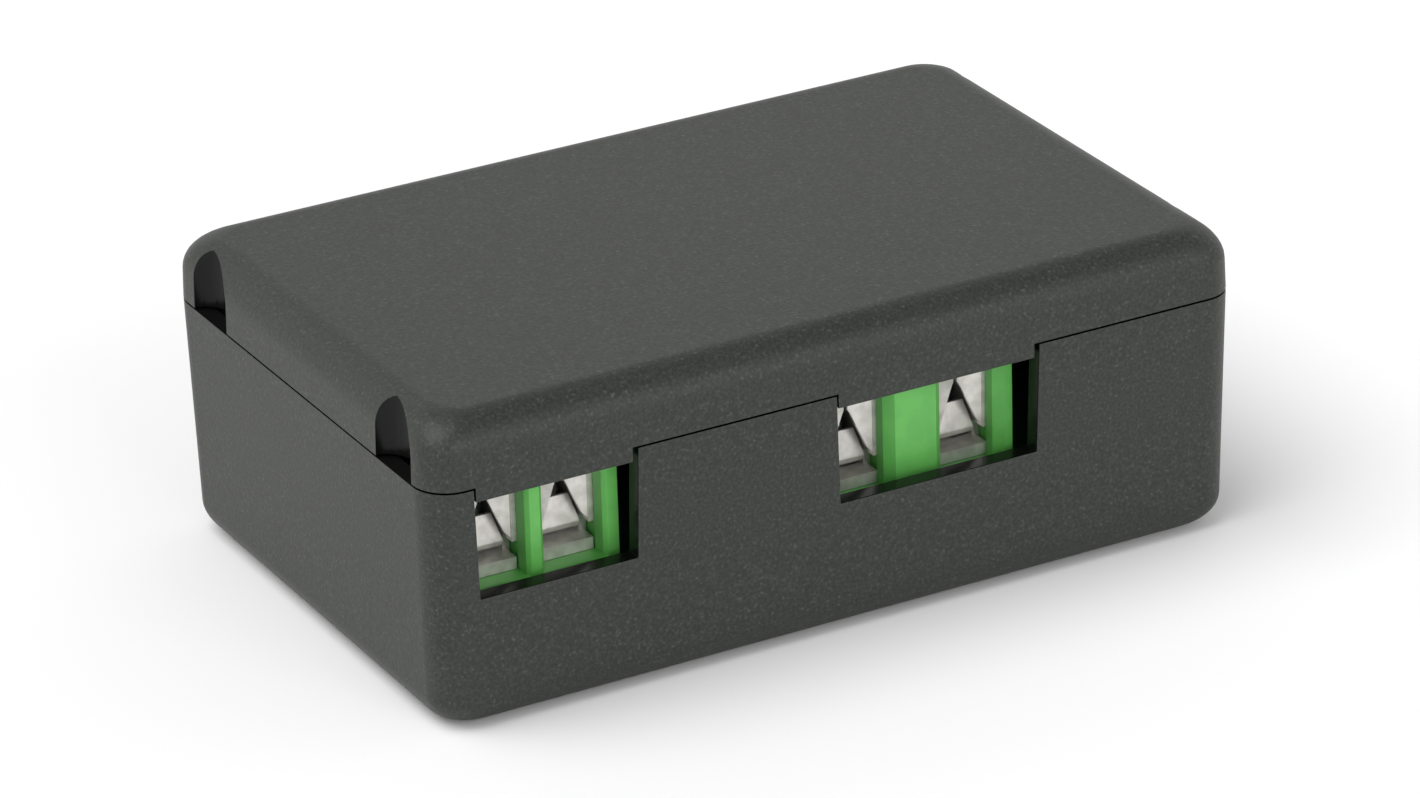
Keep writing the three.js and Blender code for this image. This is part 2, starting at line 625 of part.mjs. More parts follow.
// Two round leads in a row along X, from inside the component down through the board.
function leads(x, y, pitch, top) {
  const pair = [x - pitch / 2, x + pitch / 2].map((leadX) => {
    leadHoles.push([leadX, y]);
    return post(leadX, y, [leadFoot, top], LEAD_RADIUS, LEAD_STEPS);
  });
  return pair[0].add(pair[1]);
}

function radialFuse(name, x, y) {
  const bottom = boardTop + COMPONENT_LIFT;
  const top = bottom + FUSE.height;
  const rim = FUSE.radius / 8;
  const body = turned([
    [0, bottom], [FUSE.radius, bottom], [FUSE.radius, top - rim], [FUSE.radius - rim, top], [0, top],
  ], x, y);
  return node(name, body.add(leads(x, y, FUSE.leadPitch, bottom + COMPONENT_LIFT)), fuseResin);
}

// A disc on edge, its flat faces towards the front and rear.
function varistor(name, x, y) {
  const half = VARISTOR.thickness / 2;
  const rim = half / 2;
  const centre = boardTop + VARISTOR.lift + VARISTOR.radius;
  const outline = [
    [0, -half], [VARISTOR.radius - rim, -half], [VARISTOR.radius, -half + rim],
    [VARISTOR.radius, half - rim], [VARISTOR.radius - rim, half], [0, half],
  ].map(([radius, height]) => new THREE.Vector2(radius, height));
  const disc = solid(new THREE.LatheGeometry(outline, ROUND_STEPS)).translate([x, y, centre]);
  return node(name, disc.add(leads(x, y, VARISTOR.leadPitch, centre)), varistorLacquer);
}

// A round body lying along X, with a lead out of each end that turns down.
function lyingBody(outline, x, y, leadPitch, centre) {
  const points = outline.map(([radius, along]) => new THREE.Vector2(radius, along));
  const body = solid(new THREE.LatheGeometry(points, ROUND_STEPS).rotateZ(-Math.PI / 2));
  const wire = new THREE.CylinderGeometry(LEAD_RADIUS, LEAD_RADIUS, leadPitch + LEAD_RADIUS * 2, LEAD_STEPS);
  const axle = solid(wire.rotateZ(Math.PI / 2));
  return body.add(axle).translate([x, y, centre]).add(leads(x, y, leadPitch, centre));
}

function gasTube(name, x, y) {
  const { radius, length, capLength, capLip, leadPitch } = GAS_TUBE;
  const half = length / 2;
  const outline = [
    [0, -half], [radius, -half], [radius, capLength - half], [radius - capLip, capLength - half],
    [radius - capLip, half - capLength], [radius, half - capLength], [radius, half], [0, half],
  ];
  const centre = boardTop + COMPONENT_LIFT + radius;
  return node(name, lyingBody(outline, x, y, leadPitch, centre), tubeCeramic);
}

function suppressorDiode(name, x, y) {
  const { radius, length, chamfer, leadPitch } = DIODE;
  const half = length / 2;
  const outline = [
    [0, -half], [radius - chamfer, -half], [radius, chamfer - half],
    [radius, half - chamfer], [radius - chamfer, half], [0, half],
  ];
  const centre = boardTop + COMPONENT_LIFT + radius;
  return node(name, lyingBody(outline, x, y, leadPitch, centre), diodeResin);
}

function lineChoke(name, x, y) {
  const bottom = boardTop + COMPONENT_LIFT;
  const top = bottom + CHOKE.height;
  const body = turned([
    [0, bottom], [CHOKE.radius, bottom], [CHOKE.radius, bottom + CHOKE.flange],
    [CHOKE.windingRadius, bottom + CHOKE.flange], [CHOKE.windingRadius, top - CHOKE.flange],
    [CHOKE.radius, top - CHOKE.flange], [CHOKE.radius, top], [0, top],
  ], x, y);
  return node(name, body.add(leads(x, y, CHOKE.leadPitch, bottom + COMPONENT_LIFT)), chokeWinding);
}

// ---------------------------------------------------------------- board parts
function circuitBoard() {
  const inset = baseInset(boardUnderside) + WALL + BOARD_CLEARANCE;
  let board = caseSlab([boardUnderside, boardTop], inset);
  for (const [x, y] of boardScrews) {
    const radius = BOARD_SCREW_RADIUS + BOARD_SCREW_HOLE_CLEARANCE;
    board = board.subtract(post(x, y, [0, CASE_HEIGHT], radius, ROUND_STEPS / 2));
  }
  for (const [x, y] of leadHoles) {
    const radius = LEAD_RADIUS + LEAD_HOLE_CLEARANCE;
    board = board.subtract(post(x, y, [0, CASE_HEIGHT], radius, LEAD_STEPS));
  }
  for (const x of [...poles(INPUT_BLOCK), ...poles(OUTPUT_BLOCK)]) board = board.subtract(pinHole(x));
  return node('circuit_board', board, boardResin);
}

function boardScrew(name, [x, y]) {
  const seat = boardTop + SEAT_GAP;
  const tip = boardTop - BOARD_SCREW_LENGTH;
  const top = seat + BOARD_SCREW_HEAD_HEIGHT;
  const rim = BOARD_SCREW_HEAD_HEIGHT / 3;
  const screw = turned([
    [0, tip], [BOARD_SCREW_RADIUS, tip + BOARD_SCREW_RADIUS], [BOARD_SCREW_RADIUS, seat],
    [BOARD_SCREW_HEAD_RADIUS, seat], [BOARD_SCREW_HEAD_RADIUS, top - rim],
    [BOARD_SCREW_HEAD_RADIUS - rim, top], [0, top],
  ], x, y);
  const arm = BOARD_SCREW_RECESS_REACH;
  const web = BOARD_SCREW_RECESS / 2;
  const height = [top - BOARD_SCREW_RECESS, top + CUT];
  const cross = box([x - arm, x + arm], [y - web, y + web], height)
    .add(box([x - web, x + web], [y - arm, y + arm], height));
  return node(name, screw.subtract(cross), screwSteel);
}

// ------------------------------------------------------------------- assembly
const module = new THREE.Group();
module.add(baseShell(), lidShell());

for (const block of [INPUT_BLOCK, OUTPUT_BLOCK]) {
  module.add(terminalHousing(block));
  poles(block).forEach((x, index) => {
    const label = `${block.name}_${index + 1}`;
    module.add(clampContact(`clamp_contact_${label}`, block, x));
    module.add(clampLeaf(`clamp_leaf_${label}`, block, x));
    module.add(clampScrew(`clamp_screw_${label}`, block, x));
  });
}

const frontRow = rear - FRONT_ROW_FROM_REAR;
const rearRow = rear - REAR_ROW_FROM_REAR;
FUSES_FROM_LEFT.forEach((from, index) => {
  module.add(radialFuse(`line_fuse_${index + 1}`, left + from, frontRow));
});
module.add(gasTube('gas_discharge_tube', left + GAS_TUBE_FROM_LEFT, frontRow));
CHOKES_FROM_RIGHT.forEach((from, index) => {
  module.add(lineChoke(`line_choke_${index + 1}`, right - from, frontRow));
});
VARISTORS_FROM_LEFT.forEach((from, index) => {
  module.add(varistor(`line_varistor_${index + 1}`, left + from, rearRow));
});
module.add(suppressorDiode('suppressor_diode', right - DIODE_FROM_RIGHT, rearRow));

module.add(circuitBoard());
boardScrews.forEach((place, index) => module.add(boardScrew(`board_screw_${index + 1}`, place)));

export default module;
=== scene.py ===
# %% [markdown]
# # A surge protection module, modelled piece by piece
# A small black case in two halves holds a circuit board. Two green screw terminals
# look out of windows in its front, and the protective parts stand behind them.
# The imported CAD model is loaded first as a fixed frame, and every piece below takes
# its place from it. Lengths are metres, so millimetre sizes are written as n * MM.

# %% Load the frame
import math

import bmesh
import bpy
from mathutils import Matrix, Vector


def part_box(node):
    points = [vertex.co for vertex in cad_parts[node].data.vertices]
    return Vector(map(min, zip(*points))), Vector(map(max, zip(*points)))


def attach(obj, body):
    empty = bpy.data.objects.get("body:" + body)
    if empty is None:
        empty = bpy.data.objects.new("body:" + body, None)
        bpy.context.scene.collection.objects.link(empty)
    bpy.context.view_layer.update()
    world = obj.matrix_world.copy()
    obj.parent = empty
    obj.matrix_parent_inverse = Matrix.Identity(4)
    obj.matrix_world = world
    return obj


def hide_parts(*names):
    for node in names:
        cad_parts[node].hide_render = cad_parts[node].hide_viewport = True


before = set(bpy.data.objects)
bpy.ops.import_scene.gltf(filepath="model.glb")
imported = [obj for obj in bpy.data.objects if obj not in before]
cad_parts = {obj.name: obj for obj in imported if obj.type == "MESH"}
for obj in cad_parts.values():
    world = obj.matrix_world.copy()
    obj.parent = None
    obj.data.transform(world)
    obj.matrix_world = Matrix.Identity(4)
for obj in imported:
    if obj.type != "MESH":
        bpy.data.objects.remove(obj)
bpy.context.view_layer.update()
MM = 0.001

# %% [markdown]
# ## Working by hand, in code
# An operator acts on all that is selected. So each helper clears the selection,
# picks faces or points by where they are, and then runs the same tool that a person
# would click. A mesh could also be written out as lists of points, but a step that
# names its tool is easier to follow and to change. `settle` writes an object's place
# and size into its mesh, which leaves the object itself at the origin.

# %% Selecting
def deselect():
    if bpy.context.object and bpy.context.object.mode != "OBJECT":
        bpy.ops.object.mode_set(mode="OBJECT")
    bpy.ops.object.select_all(action="DESELECT")


def take(piece):
    deselect()
    piece.select_set(True)
    bpy.context.view_layer.objects.active = piece


def settle(piece):
    take(piece)
    bpy.ops.object.transform_apply(location=True, rotation=True, scale=True)
    return piece


def edit(piece, kind):
    take(piece)
    bpy.ops.object.mode_set(mode="EDIT")
    bpy.ops.mesh.select_mode(type=kind)
    bpy.ops.mesh.select_all(action="DESELECT")


def leave():
    bpy.ops.object.mode_set(mode="OBJECT")


def pick_faces(test):
    mesh = bmesh.from_edit_mesh(bpy.context.object.data)
    for face in mesh.faces:
        face.select_set(bool(test(face.calc_center_median(), face.normal)))
    bmesh.update_edit_mesh(bpy.context.object.data)


def pick_edges(test):
    mesh = bmesh.from_edit_mesh(bpy.context.object.data)
    for edge in mesh.edges:
        edge.select_set(bool(test(edge.verts[0].co, edge.verts[1].co)))
    bmesh.update_edit_mesh(bpy.context.object.data)


def pick_points(test):
    mesh = bmesh.from_edit_mesh(bpy.context.object.data)
    for point in mesh.verts:
        point.select_set(bool(test(point.co)))
    mesh.select_flush_mode()
    bmesh.update_edit_mesh(bpy.context.object.data)


# %% Extruding
def extrude_faces(step):
    bpy.ops.mesh.extrude_region_move(TRANSFORM_OT_translate={"value": step})


def extrude_edges(step):
    bpy.ops.mesh.extrude_edges_move(TRANSFORM_OT_translate={"value": step})


# %% [markdown]
# ## Starting shapes
# Most pieces of this module are boxes and cylinders at heart. A primitive could be
# added at its standard size and scaled by eye. Here it is given its real size and
# place straight away, from its corners or its ends.

# %% Starting shapes
# Points closer than NEAR count as one, and a normal with a part past FACING looks that way.
NEAR = 0.005 * MM
FACING = 0.9


def block(low, high):
    middle = (Vector(low) + Vector(high)) / 2
    deselect()
    bpy.ops.mesh.primitive_cube_add(size=1, location=middle)
    piece = bpy.context.object
    piece.scale = Vector(high) - Vector(low)
    return settle(piece)


def rod(x, y, bottom, top, radius, sides=32):
    deselect()
    bpy.ops.mesh.primitive_cylinder_add(
        vertices=sides, radius=radius, depth=top - bottom, location=(x, y, (bottom + top) / 2))
    return settle(bpy.context.object)


def lying_rod(middle, length, radius, sides=32):
    deselect()
    bpy.ops.mesh.primitive_cylinder_add(
        vertices=sides, radius=radius, depth=length, location=middle, rotation=(0, math.pi / 2, 0))
    return settle(bpy.context.object)


# %% [markdown]
# ## Joining, cutting and copying
# Moulded and pressed parts have pockets and holes. They could be modelled face by
# face, but a boolean modifier, applied at once, cuts the same shape in one step. A
# cutting tool runs about a millimetre past the surface it cuts, so that no two faces
# lie in one another.

# %% Joining, cutting and copying
def combine(piece, tool, operation):
    take(piece)
    change = piece.modifiers.new("shape", "BOOLEAN")
    change.object = tool
    change.operation = operation
    change.solver = "EXACT"
    change.material_mode = "INDEX"
    bpy.ops.object.modifier_apply(modifier=change.name)
    bpy.data.objects.remove(tool)


def cut(piece, *tools):
    for tool in tools:
        combine(piece, tool, "DIFFERENCE")
    return piece


def weld(piece, *others):
    for other in others:
        combine(piece, other, "UNION")
    return piece


def gather(piece, *others):
    take(piece)
    for other in others:
        other.select_set(True)
    bpy.ops.object.join()
    return piece


def copy_by(piece, step):
    twin = piece.copy()
    twin.data = piece.data.copy()
    bpy.context.collection.objects.link(twin)
    twin.location = step
    return settle(twin)


# %% [markdown]
# ## Finishing a mesh
# No real edge is perfectly sharp: a narrow bevel catches the light along it. The bevel
# could be made by hand on chosen edges, but a Bevel modifier limited by angle finds
# them all. Shading is then smooth over the bevels, and weighted normals keep the flat
# faces flat.

# %% Finishing a mesh
SMOOTH_ANGLE = math.radians(35)
WELD_DISTANCE = 0.0005 * MM


def soften(piece, width, segments=2, angle=40):
    take(piece)
    rounding = piece.modifiers.new("soft edges", "BEVEL")
    rounding.width = width
    rounding.segments = segments
    rounding.limit_method = "ANGLE"
    rounding.angle_limit = math.radians(angle)
    rounding.use_clamp_overlap = True
    bpy.ops.object.modifier_apply(modifier=rounding.name)


def smooth(piece):
    take(piece)
    bpy.ops.object.shade_smooth_by_angle(angle=SMOOTH_ANGLE)
    level = piece.modifiers.new("flat faces stay flat", "WEIGHTED_NORMAL")
    level.keep_sharp = True
    bpy.ops.object.modifier_apply(modifier=level.name)
    return piece


def outwards(piece):
    edit(piece, "FACE")
    bpy.ops.mesh.select_all(action="SELECT")
    bpy.ops.mesh.remove_doubles(threshold=WELD_DISTANCE)
    bpy.ops.mesh.normals_make_consistent(inside=False)
    leave()
    return piece


def hand_over(piece, name, body, node):
    piece.name = name.replace(" ", "_")
    if node:
        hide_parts(node)
    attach(piece, body)
    print(f"{name}: {len(piece.data.polygons)} faces on {body}")


# %% [markdown]
# ## Finishes
# Each finish is a Principled shader with its colour, metal and roughness set on the
# shader's own sockets. Where the real surface has grain, a noise texture in Object
# coordinates, which are metres here, drives a little colour change and a bump. A
# painted picture could carry the grain too, but noise needs no unwrapping and keeps
# one grain size on every piece.

# %% Material helper
def finish(name, color, roughness, metallic=0.0):
    material = bpy.data.materials.new(name)
    material.use_nodes = True
    shader = material.node_tree.nodes["Principled BSDF"]
    shader.inputs["Base Color"].default_value = (*color, 1)
    shader.inputs["Roughness"].default_value = roughness
    shader.inputs["Metallic"].default_value = metallic
    return material


def noise(material, grain, detail=2.0):
    nodes = material.node_tree.nodes
    place = nodes.new("ShaderNodeTexCoord")
    texture = nodes.new("ShaderNodeTexNoise")
    texture.inputs["Scale"].default_value = 1 / grain
    texture.inputs["Detail"].default_value = detail
    material.node_tree.links.new(place.outputs["Object"], texture.inputs["Vector"])
    return texture


def mottle(material, grain, low, high, spread=(0.35, 0.65)):
    ramp = material.node_tree.nodes.new("ShaderNodeValToRGB")
    ramp.color_ramp.elements[0].position = spread[0]
    ramp.color_ramp.elements[0].color = (*low, 1)
    ramp.color_ramp.elements[1].position = spread[1]
    ramp.color_ramp.elements[1].color = (*high, 1)
    links = material.node_tree.links
    links.new(noise(material, grain).outputs["Fac"], ramp.inputs["Fac"])
    links.new(ramp.outputs["Color"], material.node_tree.nodes["Principled BSDF"].inputs["Base Color"])
    return ramp


def roughen(material, grain, height, strength=1.0):
    bump = material.node_tree.nodes.new("ShaderNodeBump")
    bump.inputs["Strength"].default_value = strength
    bump.inputs["Distance"].default_value = height
    links = material.node_tree.links
    links.new(noise(material, grain, 3.0).outputs["Fac"], bump.inputs["Height"])
    links.new(bump.outputs["Normal"], material.node_tree.nodes["Principled BSDF"].inputs["Normal"])


# %% [markdown]
# ## The case plastic
# The outside of the mould is spark-eroded, which leaves a fine matt grain with a few
# lighter specks. A plain rough grey would look too even, so noise varies the colour
# and lifts the surface slightly. Cut edges and the inside are left smooth, and their
# colour is also painted far darker than the outside's. That is painted shade for the
# slots, rims, window sides and the inside, where little light falls.

# %% Case plastic
CASE_GRAIN = 0.2 * MM
eroded_black = finish("eroded black", (0.02, 0.022, 0.019), 0.5)
grain_ramp = mottle(eroded_black, CASE_GRAIN, (0.010, 0.0125, 0.009), (0.024, 0.028, 0.022), (0.36, 0.64))
speck = grain_ramp.color_ramp.elements.new(0.74)
speck.color = (0.06, 0.064, 0.06, 1)
roughen(eroded_black, CASE_GRAIN, 0.035 * MM, 0.5)

# Smooth and glossy like the mould's cut faces, with a colour painted far darker than the outside's: painted
# shade for recesses, slots and the inside.
smooth_black_painted_shade = finish("smooth black, painted shade", (0.004, 0.0045, 0.004), 0.25)
smooth_black_painted_shade.node_tree.nodes["Principled BSDF"].inputs["Specular IOR Level"].default_value = 0.2
roughen(smooth_black_painted_shade, 0.5 * MM, 0.002 * MM, 0.3)

CASE_FINISHES = [eroded_black, smooth_black_painted_shade]
ERODED, SMOOTH_PAINTED_SHADE = range(2)
print("case finishes:", [material.name for material in CASE_FINISHES])

# %% [markdown]
# ## Terminal plastic and metals
# The terminals are bright green plastic with a slight sheen, and their clamps are
# tinned. Tin that has been pressed and handled is duller than a mirror. It could be
# fully metallic, but then it would turn black inside the dark case, so tin plate is
# part metallic. The screws show only with the lid off and stay fully metallic.

# %% Terminal plastic and metals
terminal_green = finish("terminal green", (0.12, 0.46, 0.09), 0.42)
mottle(terminal_green, 1.5 * MM, (0.11, 0.43, 0.085), (0.13, 0.49, 0.095))
roughen(terminal_green, 0.3 * MM, 0.004 * MM, 0.3)

tin_plate = finish("tin plate", (0.72, 0.69, 0.66), 0.36, 0.55)
mottle(tin_plate, 0.8 * MM, (0.62, 0.59, 0.56), (0.80, 0.77, 0.74))
roughen(tin_plate, 0.25 * MM, 0.006 * MM, 0.4)

zinc_plate = finish("zinc plate", (0.70, 0.71, 0.72), 0.34, 1.0)
mottle(zinc_plate, 0.6 * MM, (0.60, 0.61, 0.62), (0.76, 0.77, 0.78))
roughen(zinc_plate, 0.2 * MM, 0.004 * MM, 0.4)

# %% [markdown]
# ## Board and component finishes
# Solder resist, lacquer, epoxy, ceramic and ferrite differ mostly in colour and
# gloss, so each is one shader and a little bump. Clear lacquer over the copper wire
# could be a coat, but a warm metal colour is enough at this size.

# %% Board and component finishes
board_green = finish("solder resist", (0.015, 0.13, 0.05), 0.35)
mottle(board_green, 0.4 * MM, (0.013, 0.12, 0.045), (0.018, 0.145, 0.055))
roughen(board_green, 0.35 * MM, 0.004 * MM, 0.3)

track_green = finish("resist over copper", (0.03, 0.22, 0.07), 0.3)
mottle(track_green, 0.4 * MM, (0.028, 0.21, 0.065), (0.034, 0.24, 0.078))

solder = finish("solder", (0.66, 0.66, 0.66), 0.3, 1.0)
roughen(solder, 0.3 * MM, 0.01 * MM, 0.4)

fuse_black = finish("fuse case", (0.02, 0.02, 0.022), 0.4)
roughen(fuse_black, 0.15 * MM, 0.005 * MM, 0.4)

varistor_blue = finish("varistor lacquer", (0.015, 0.085, 0.36), 0.32)
roughen(varistor_blue, 0.9 * MM, 0.03 * MM, 0.5)

tube_white = finish("tube ceramic", (0.72, 0.70, 0.65), 0.35)
roughen(tube_white, 0.3 * MM, 0.004 * MM, 0.3)

ferrite = finish("ferrite", (0.03, 0.03, 0.032), 0.6)
roughen(ferrite, 0.2 * MM, 0.012 * MM, 0.5)

winding_copper = finish("enamelled copper", (0.60, 0.24, 0.10), 0.3, 1.0)
mottle(winding_copper, 0.7 * MM, (0.52, 0.20, 0.08), (0.66, 0.28, 0.12))

diode_black = finish("diode epoxy", (0.018, 0.018, 0.02), 0.38)
roughen(diode_black, 0.2 * MM, 0.006 * MM, 0.4)

diode_band = finish("diode band", (0.62, 0.62, 0.60), 0.5)
print("finishes:", len(bpy.data.materials))

# %% [markdown]
# ## The case halves
# Each half is an injection moulding of even wall thickness. It could be a solid block
# that is hollowed with a boolean, but a rounded plate that is extruded through a stack
# of levels gives cleaner edges. Each level is resized a little: first along the
# outside, then over the rim and back along the inside. That leaves one closed skin
# with the draft that lets the real part leave its mould.

# %% Case sizes
base_low, base_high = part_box("base_shell")
lid_low, lid_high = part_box("lid_shell")
CASE_LENGTH = base_high.x - base_low.x
CASE_WIDTH = base_high.y - base_low.y
PARTING = base_high.z
CASE_TOP = lid_high.z
PARTING_GAP = 0.12 * MM
LID_BOTTOM = PARTING + PARTING_GAP
WALL = 1.2 * MM
FLOOR = 1.5 * MM
ROOF = 1.2 * MM
CEILING = CASE_TOP - ROOF
CORNER_RADIUS = 2.0 * MM
TOP_EDGE_RADIUS = 2.2 * MM
BOTTOM_EDGE_RADIUS = 2.0 * MM
BASE_SLOPE = math.tan(math.radians(1.1))
LID_SLOPE = math.tan(math.radians(1.5))
CORNER_SEGMENTS = 10
EDGE_SEGMENTS = 10
CASE_EDGE = 0.12 * MM
print("case:", round(CASE_LENGTH / MM, 2), round(CASE_WIDTH / MM, 2), round(CASE_TOP / MM, 2))


# %% Levels of a case half
def base_inset(height):
    return (PARTING - height) * BASE_SLOPE


def lid_inset(height):
    return (height - LID_BOTTOM) * LID_SLOPE


def base_levels():
    levels = []
    for step in range(EDGE_SEGMENTS + 1):
        angle = step / EDGE_SEGMENTS * math.pi / 2
        height = BOTTOM_EDGE_RADIUS * (1 - math.cos(angle))
        levels.append((height, base_inset(height) + BOTTOM_EDGE_RADIUS * (1 - math.sin(angle))))
    levels += [(PARTING, 0), (PARTING, WALL), (FLOOR, base_inset(FLOOR) + WALL)]
    return levels


def lid_levels():
    levels = []
    for step in range(EDGE_SEGMENTS + 1):
        angle = step / EDGE_SEGMENTS * math.pi / 2
        height = CASE_TOP - TOP_EDGE_RADIUS * (1 - math.cos(angle))
        levels.append((height, lid_inset(height) + TOP_EDGE_RADIUS * (1 - math.sin(angle))))
    levels += [(LID_BOTTOM, 0), (LID_BOTTOM, WALL), (CEILING, lid_inset(CEILING) + WALL)]
    return levels


# %% Skin a case half
def inset_size(inset):
    return Vector((CASE_LENGTH - 2 * inset, CASE_WIDTH - 2 * inset, 1))


def moulded_half(levels):
    height, inset = levels[0]
    deselect()
    bpy.ops.mesh.primitive_plane_add(size=1, location=(0, 0, height))
    half = bpy.context.object
    half.scale = inset_size(inset)
    settle(half)
    edit(half, "VERT")
    bpy.ops.mesh.select_all(action="SELECT")
    bpy.ops.mesh.bevel(offset=CORNER_RADIUS, segments=CORNER_SEGMENTS, affect="VERTICES")
    for next_height, next_inset in levels[1:]:
        extrude_faces((0, 0, next_height - height))
        before, after = inset_size(inset), inset_size(next_inset)
        bpy.ops.transform.resize(
            value=(after.x / before.x, after.y / before.y, 1), center_override=(0, 0, next_height))
        height, inset = next_height, next_inset
    leave()
    outwards(half)
    for material in CASE_FINISHES:
        half.data.materials.append(material)
    rim, floor = levels[-2][0], levels[-1][0]
    # Inward faces and the level faces at rim and floor take the smooth finish, whose darker colour is
    # painted shade.
    for face in half.data.polygons:
        looks_in = face.center.x * face.normal.x + face.center.y * face.normal.y < -MM
        is_level = abs(face.normal.z) > FACING
        is_near = min(abs(face.center.z - rim), abs(face.center.z - floor)) < NEAR
        face.material_index = SMOOTH_PAINTED_SHADE if looks_in or (is_level and is_near) else ERODED
    return half


# Gives a tool the smooth finish on every face. Its far darker colour paints the shade in windows, slots,
# bosses, fingers and the lip.
def smooth_painted_shade_tool(tool):
    tool.data.materials.clear()
    for material in CASE_FINISHES:
        tool.data.materials.append(material)
    for face in tool.data.polygons:
        face.material_index = SMOOTH_PAINTED_SHADE
    return tool


# %% [markdown]
# ## The windows
# Each window is a notch in the base's front wall, a little narrower at its sill. The
# sill stands a little above the bottom of the terminal's wire entries, which are seen
# over it from above. The notch could be left out of the skin as it is extruded, but a
# cut with a tapered block is simpler. It takes its ends from the terminal behind it.

# %% Window places
WINDOW_REACH = {"input": (-0.1 * MM, 0.3 * MM), "output": (0.3 * MM, 0.6 * MM)}
WINDOW_TAPER = 0.2 * MM
SILL_ABOVE_BOARD = 1.7 * MM
TAB_HEIGHT = 0.8 * MM
TAB_GAPS = (0.12 * MM, 0.4 * MM)
TAB_ROOT = 0.2 * MM
BOARD_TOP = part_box("circuit_board")[1].z
BOARD_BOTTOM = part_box("circuit_board")[0].z
FRONT = base_low.y
REAR = base_high.y
print("board top in mm:", round(BOARD_TOP / MM, 2))


def window_ends(terminal):
    low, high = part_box(f"{terminal}_terminal_housing")
    return low.x - WINDOW_REACH[terminal][0], high.x + WINDOW_REACH[terminal][1]


def window_tool(terminal):
    left, right = window_ends(terminal)
    sill = BOARD_TOP + SILL_ABOVE_BOARD
    tool = block((left, FRONT - WALL, sill), (right, FRONT + 2 * WALL, PARTING + WALL))
    edit(tool, "FACE")
    pick_faces(lambda centre, normal: normal.z < -FACING)
    narrow = (right - left - 2 * WINDOW_TAPER) / (right - left)
    bpy.ops.transform.resize(value=(narrow, 1, 1), center_override=((left + right) / 2, FRONT, sill))
    leave()
    return smooth_painted_shade_tool(tool)


# %% [markdown]
# ## The base
# The base carries four bosses for the board's screws. They could be extruded up from
# the floor, which would need its faces divided round each one. A welded rod with a
# pilot hole is the same shape with less work.

# %% Base
BOSS_RADIUS = 2.1 * MM
BOSS_GAP = 0.05 * MM
BOSS_TOP = BOARD_BOTTOM - BOSS_GAP
PILOT_RADIUS = 1.1 * MM
PILOT_DEPTH = 3.0 * MM
BOARD_SCREWS = [f"board_screw_{number}" for number in range(1, 5)]


def centre_of(node):
    low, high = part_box(node)
    return (low + high) / 2


base = moulded_half(base_levels())
for screw in BOARD_SCREWS:
    spot = centre_of(screw)
    weld(base, smooth_painted_shade_tool(rod(spot.x, spot.y, FLOOR / 2, BOSS_TOP, BOSS_RADIUS, 40)))
    cut(base, smooth_painted_shade_tool(rod(spot.x, spot.y, BOSS_TOP - PILOT_DEPTH, BOSS_TOP + MM, PILOT_RADIUS, 32)))
for terminal in WINDOW_REACH:
    cut(base, window_tool(terminal))
soften(base, CASE_EDGE)
smooth(base)
hand_over(base, "base moulding", "base", "base_shell")

# %% [markdown]
# ## The lid's slots
# Two slots are scooped out of each short side, where a tool presses on the snap
# fingers. Seen from the side, a slot's rear edge is upright and its front edge curves
# over to meet it. Seen from above, it is half an ellipse. A cut with one bevelled block
# would leave a flat bottom. So the cutting shape is an elliptical cylinder that keeps
# only what a box with a rounded edge also covers.

# %% Slot tool
SLOT_WIDTH = 4.6 * MM
SLOT_DEPTH = 1.6 * MM
SLOT_TOP = CASE_TOP - 0.3 * MM
SLOT_CURVE = 2.1 * MM
SLOT_CORNER = 0.4 * MM
SLOT_CENTRES = (FRONT + 4.75 * MM, REAR - 5.7 * MM)
SIDE = CASE_LENGTH / 2
print("slot centres in mm:", [round(centre / MM, 2) for centre in SLOT_CENTRES])


def slot_outline(y):
    """A box whose front top edge is an ellipse: rounded while half as wide, then stretched."""
    bottom = PARTING - MM
    half_width = SLOT_WIDTH / 2
    outline = block((SIDE - 2 * SLOT_DEPTH, 0, bottom), (SIDE + MM, half_width, SLOT_TOP))
    edit(outline, "EDGE")
    pick_edges(lambda a, b: min(a.z, b.z) > SLOT_TOP - NEAR and max(a.y, b.y) < NEAR)
    bpy.ops.mesh.bevel(offset=SLOT_CURVE, segments=14, affect="EDGES")
    leave()
    outline.scale = (1, 2, 1)
    outline.location.y = y - half_width
    settle(outline)
    edit(outline, "EDGE")
    rear_edge = y + half_width - NEAR
    pick_edges(lambda a, b: min(a.z, b.z) > SLOT_TOP - NEAR and min(a.y, b.y) > rear_edge)
    bpy.ops.mesh.bevel(offset=SLOT_CORNER, segments=4, affect="EDGES")
    leave()
    return outline


def slot_tool(side, y):
    scoop = rod(0, 0, PARTING - 0.5 * MM, CASE_TOP + MM, 1, 72)
    scoop.scale = (SLOT_DEPTH, SLOT_WIDTH / 2, 1)
    scoop.location = (SIDE, y, 0)
    settle(scoop)
    combine(scoop, slot_outline(y), "INTERSECT")
    if side < 0:
        scoop.scale.x = -1
        settle(scoop)
        outwards(scoop)
    return smooth_painted_shade_tool(scoop)


# %% [markdown]
# ## Inside the lid
# A snap finger hangs behind each slot. Its root is thick enough to meet the wall, so
# the slot never opens into the case. A lip below the rim slips inside the base and
# keeps the two halves in line, along the sides and the rear. A tab closes the top of
# each window. They could be extruded from the skin's inner faces, but as blocks that
# are welded on they stay easy to place.

# %% Fingers, lip and tabs
FINGER_WIDTH = 4.8 * MM
FINGER_THICKNESS = 0.8 * MM
FINGER_BEHIND_SLOT = 0.1 * MM
FINGER_OUTER = SIDE - SLOT_DEPTH - FINGER_BEHIND_SLOT
FINGER_FOOT = lid_low.z
FINGER_CHAMFER = 0.4 * MM
LIP_DEPTH = 0.9 * MM
LIP_THICKNESS = 0.7 * MM
LIP_INSET = WALL + 0.25 * MM
LIP_FRONT = FRONT + 8.5 * MM


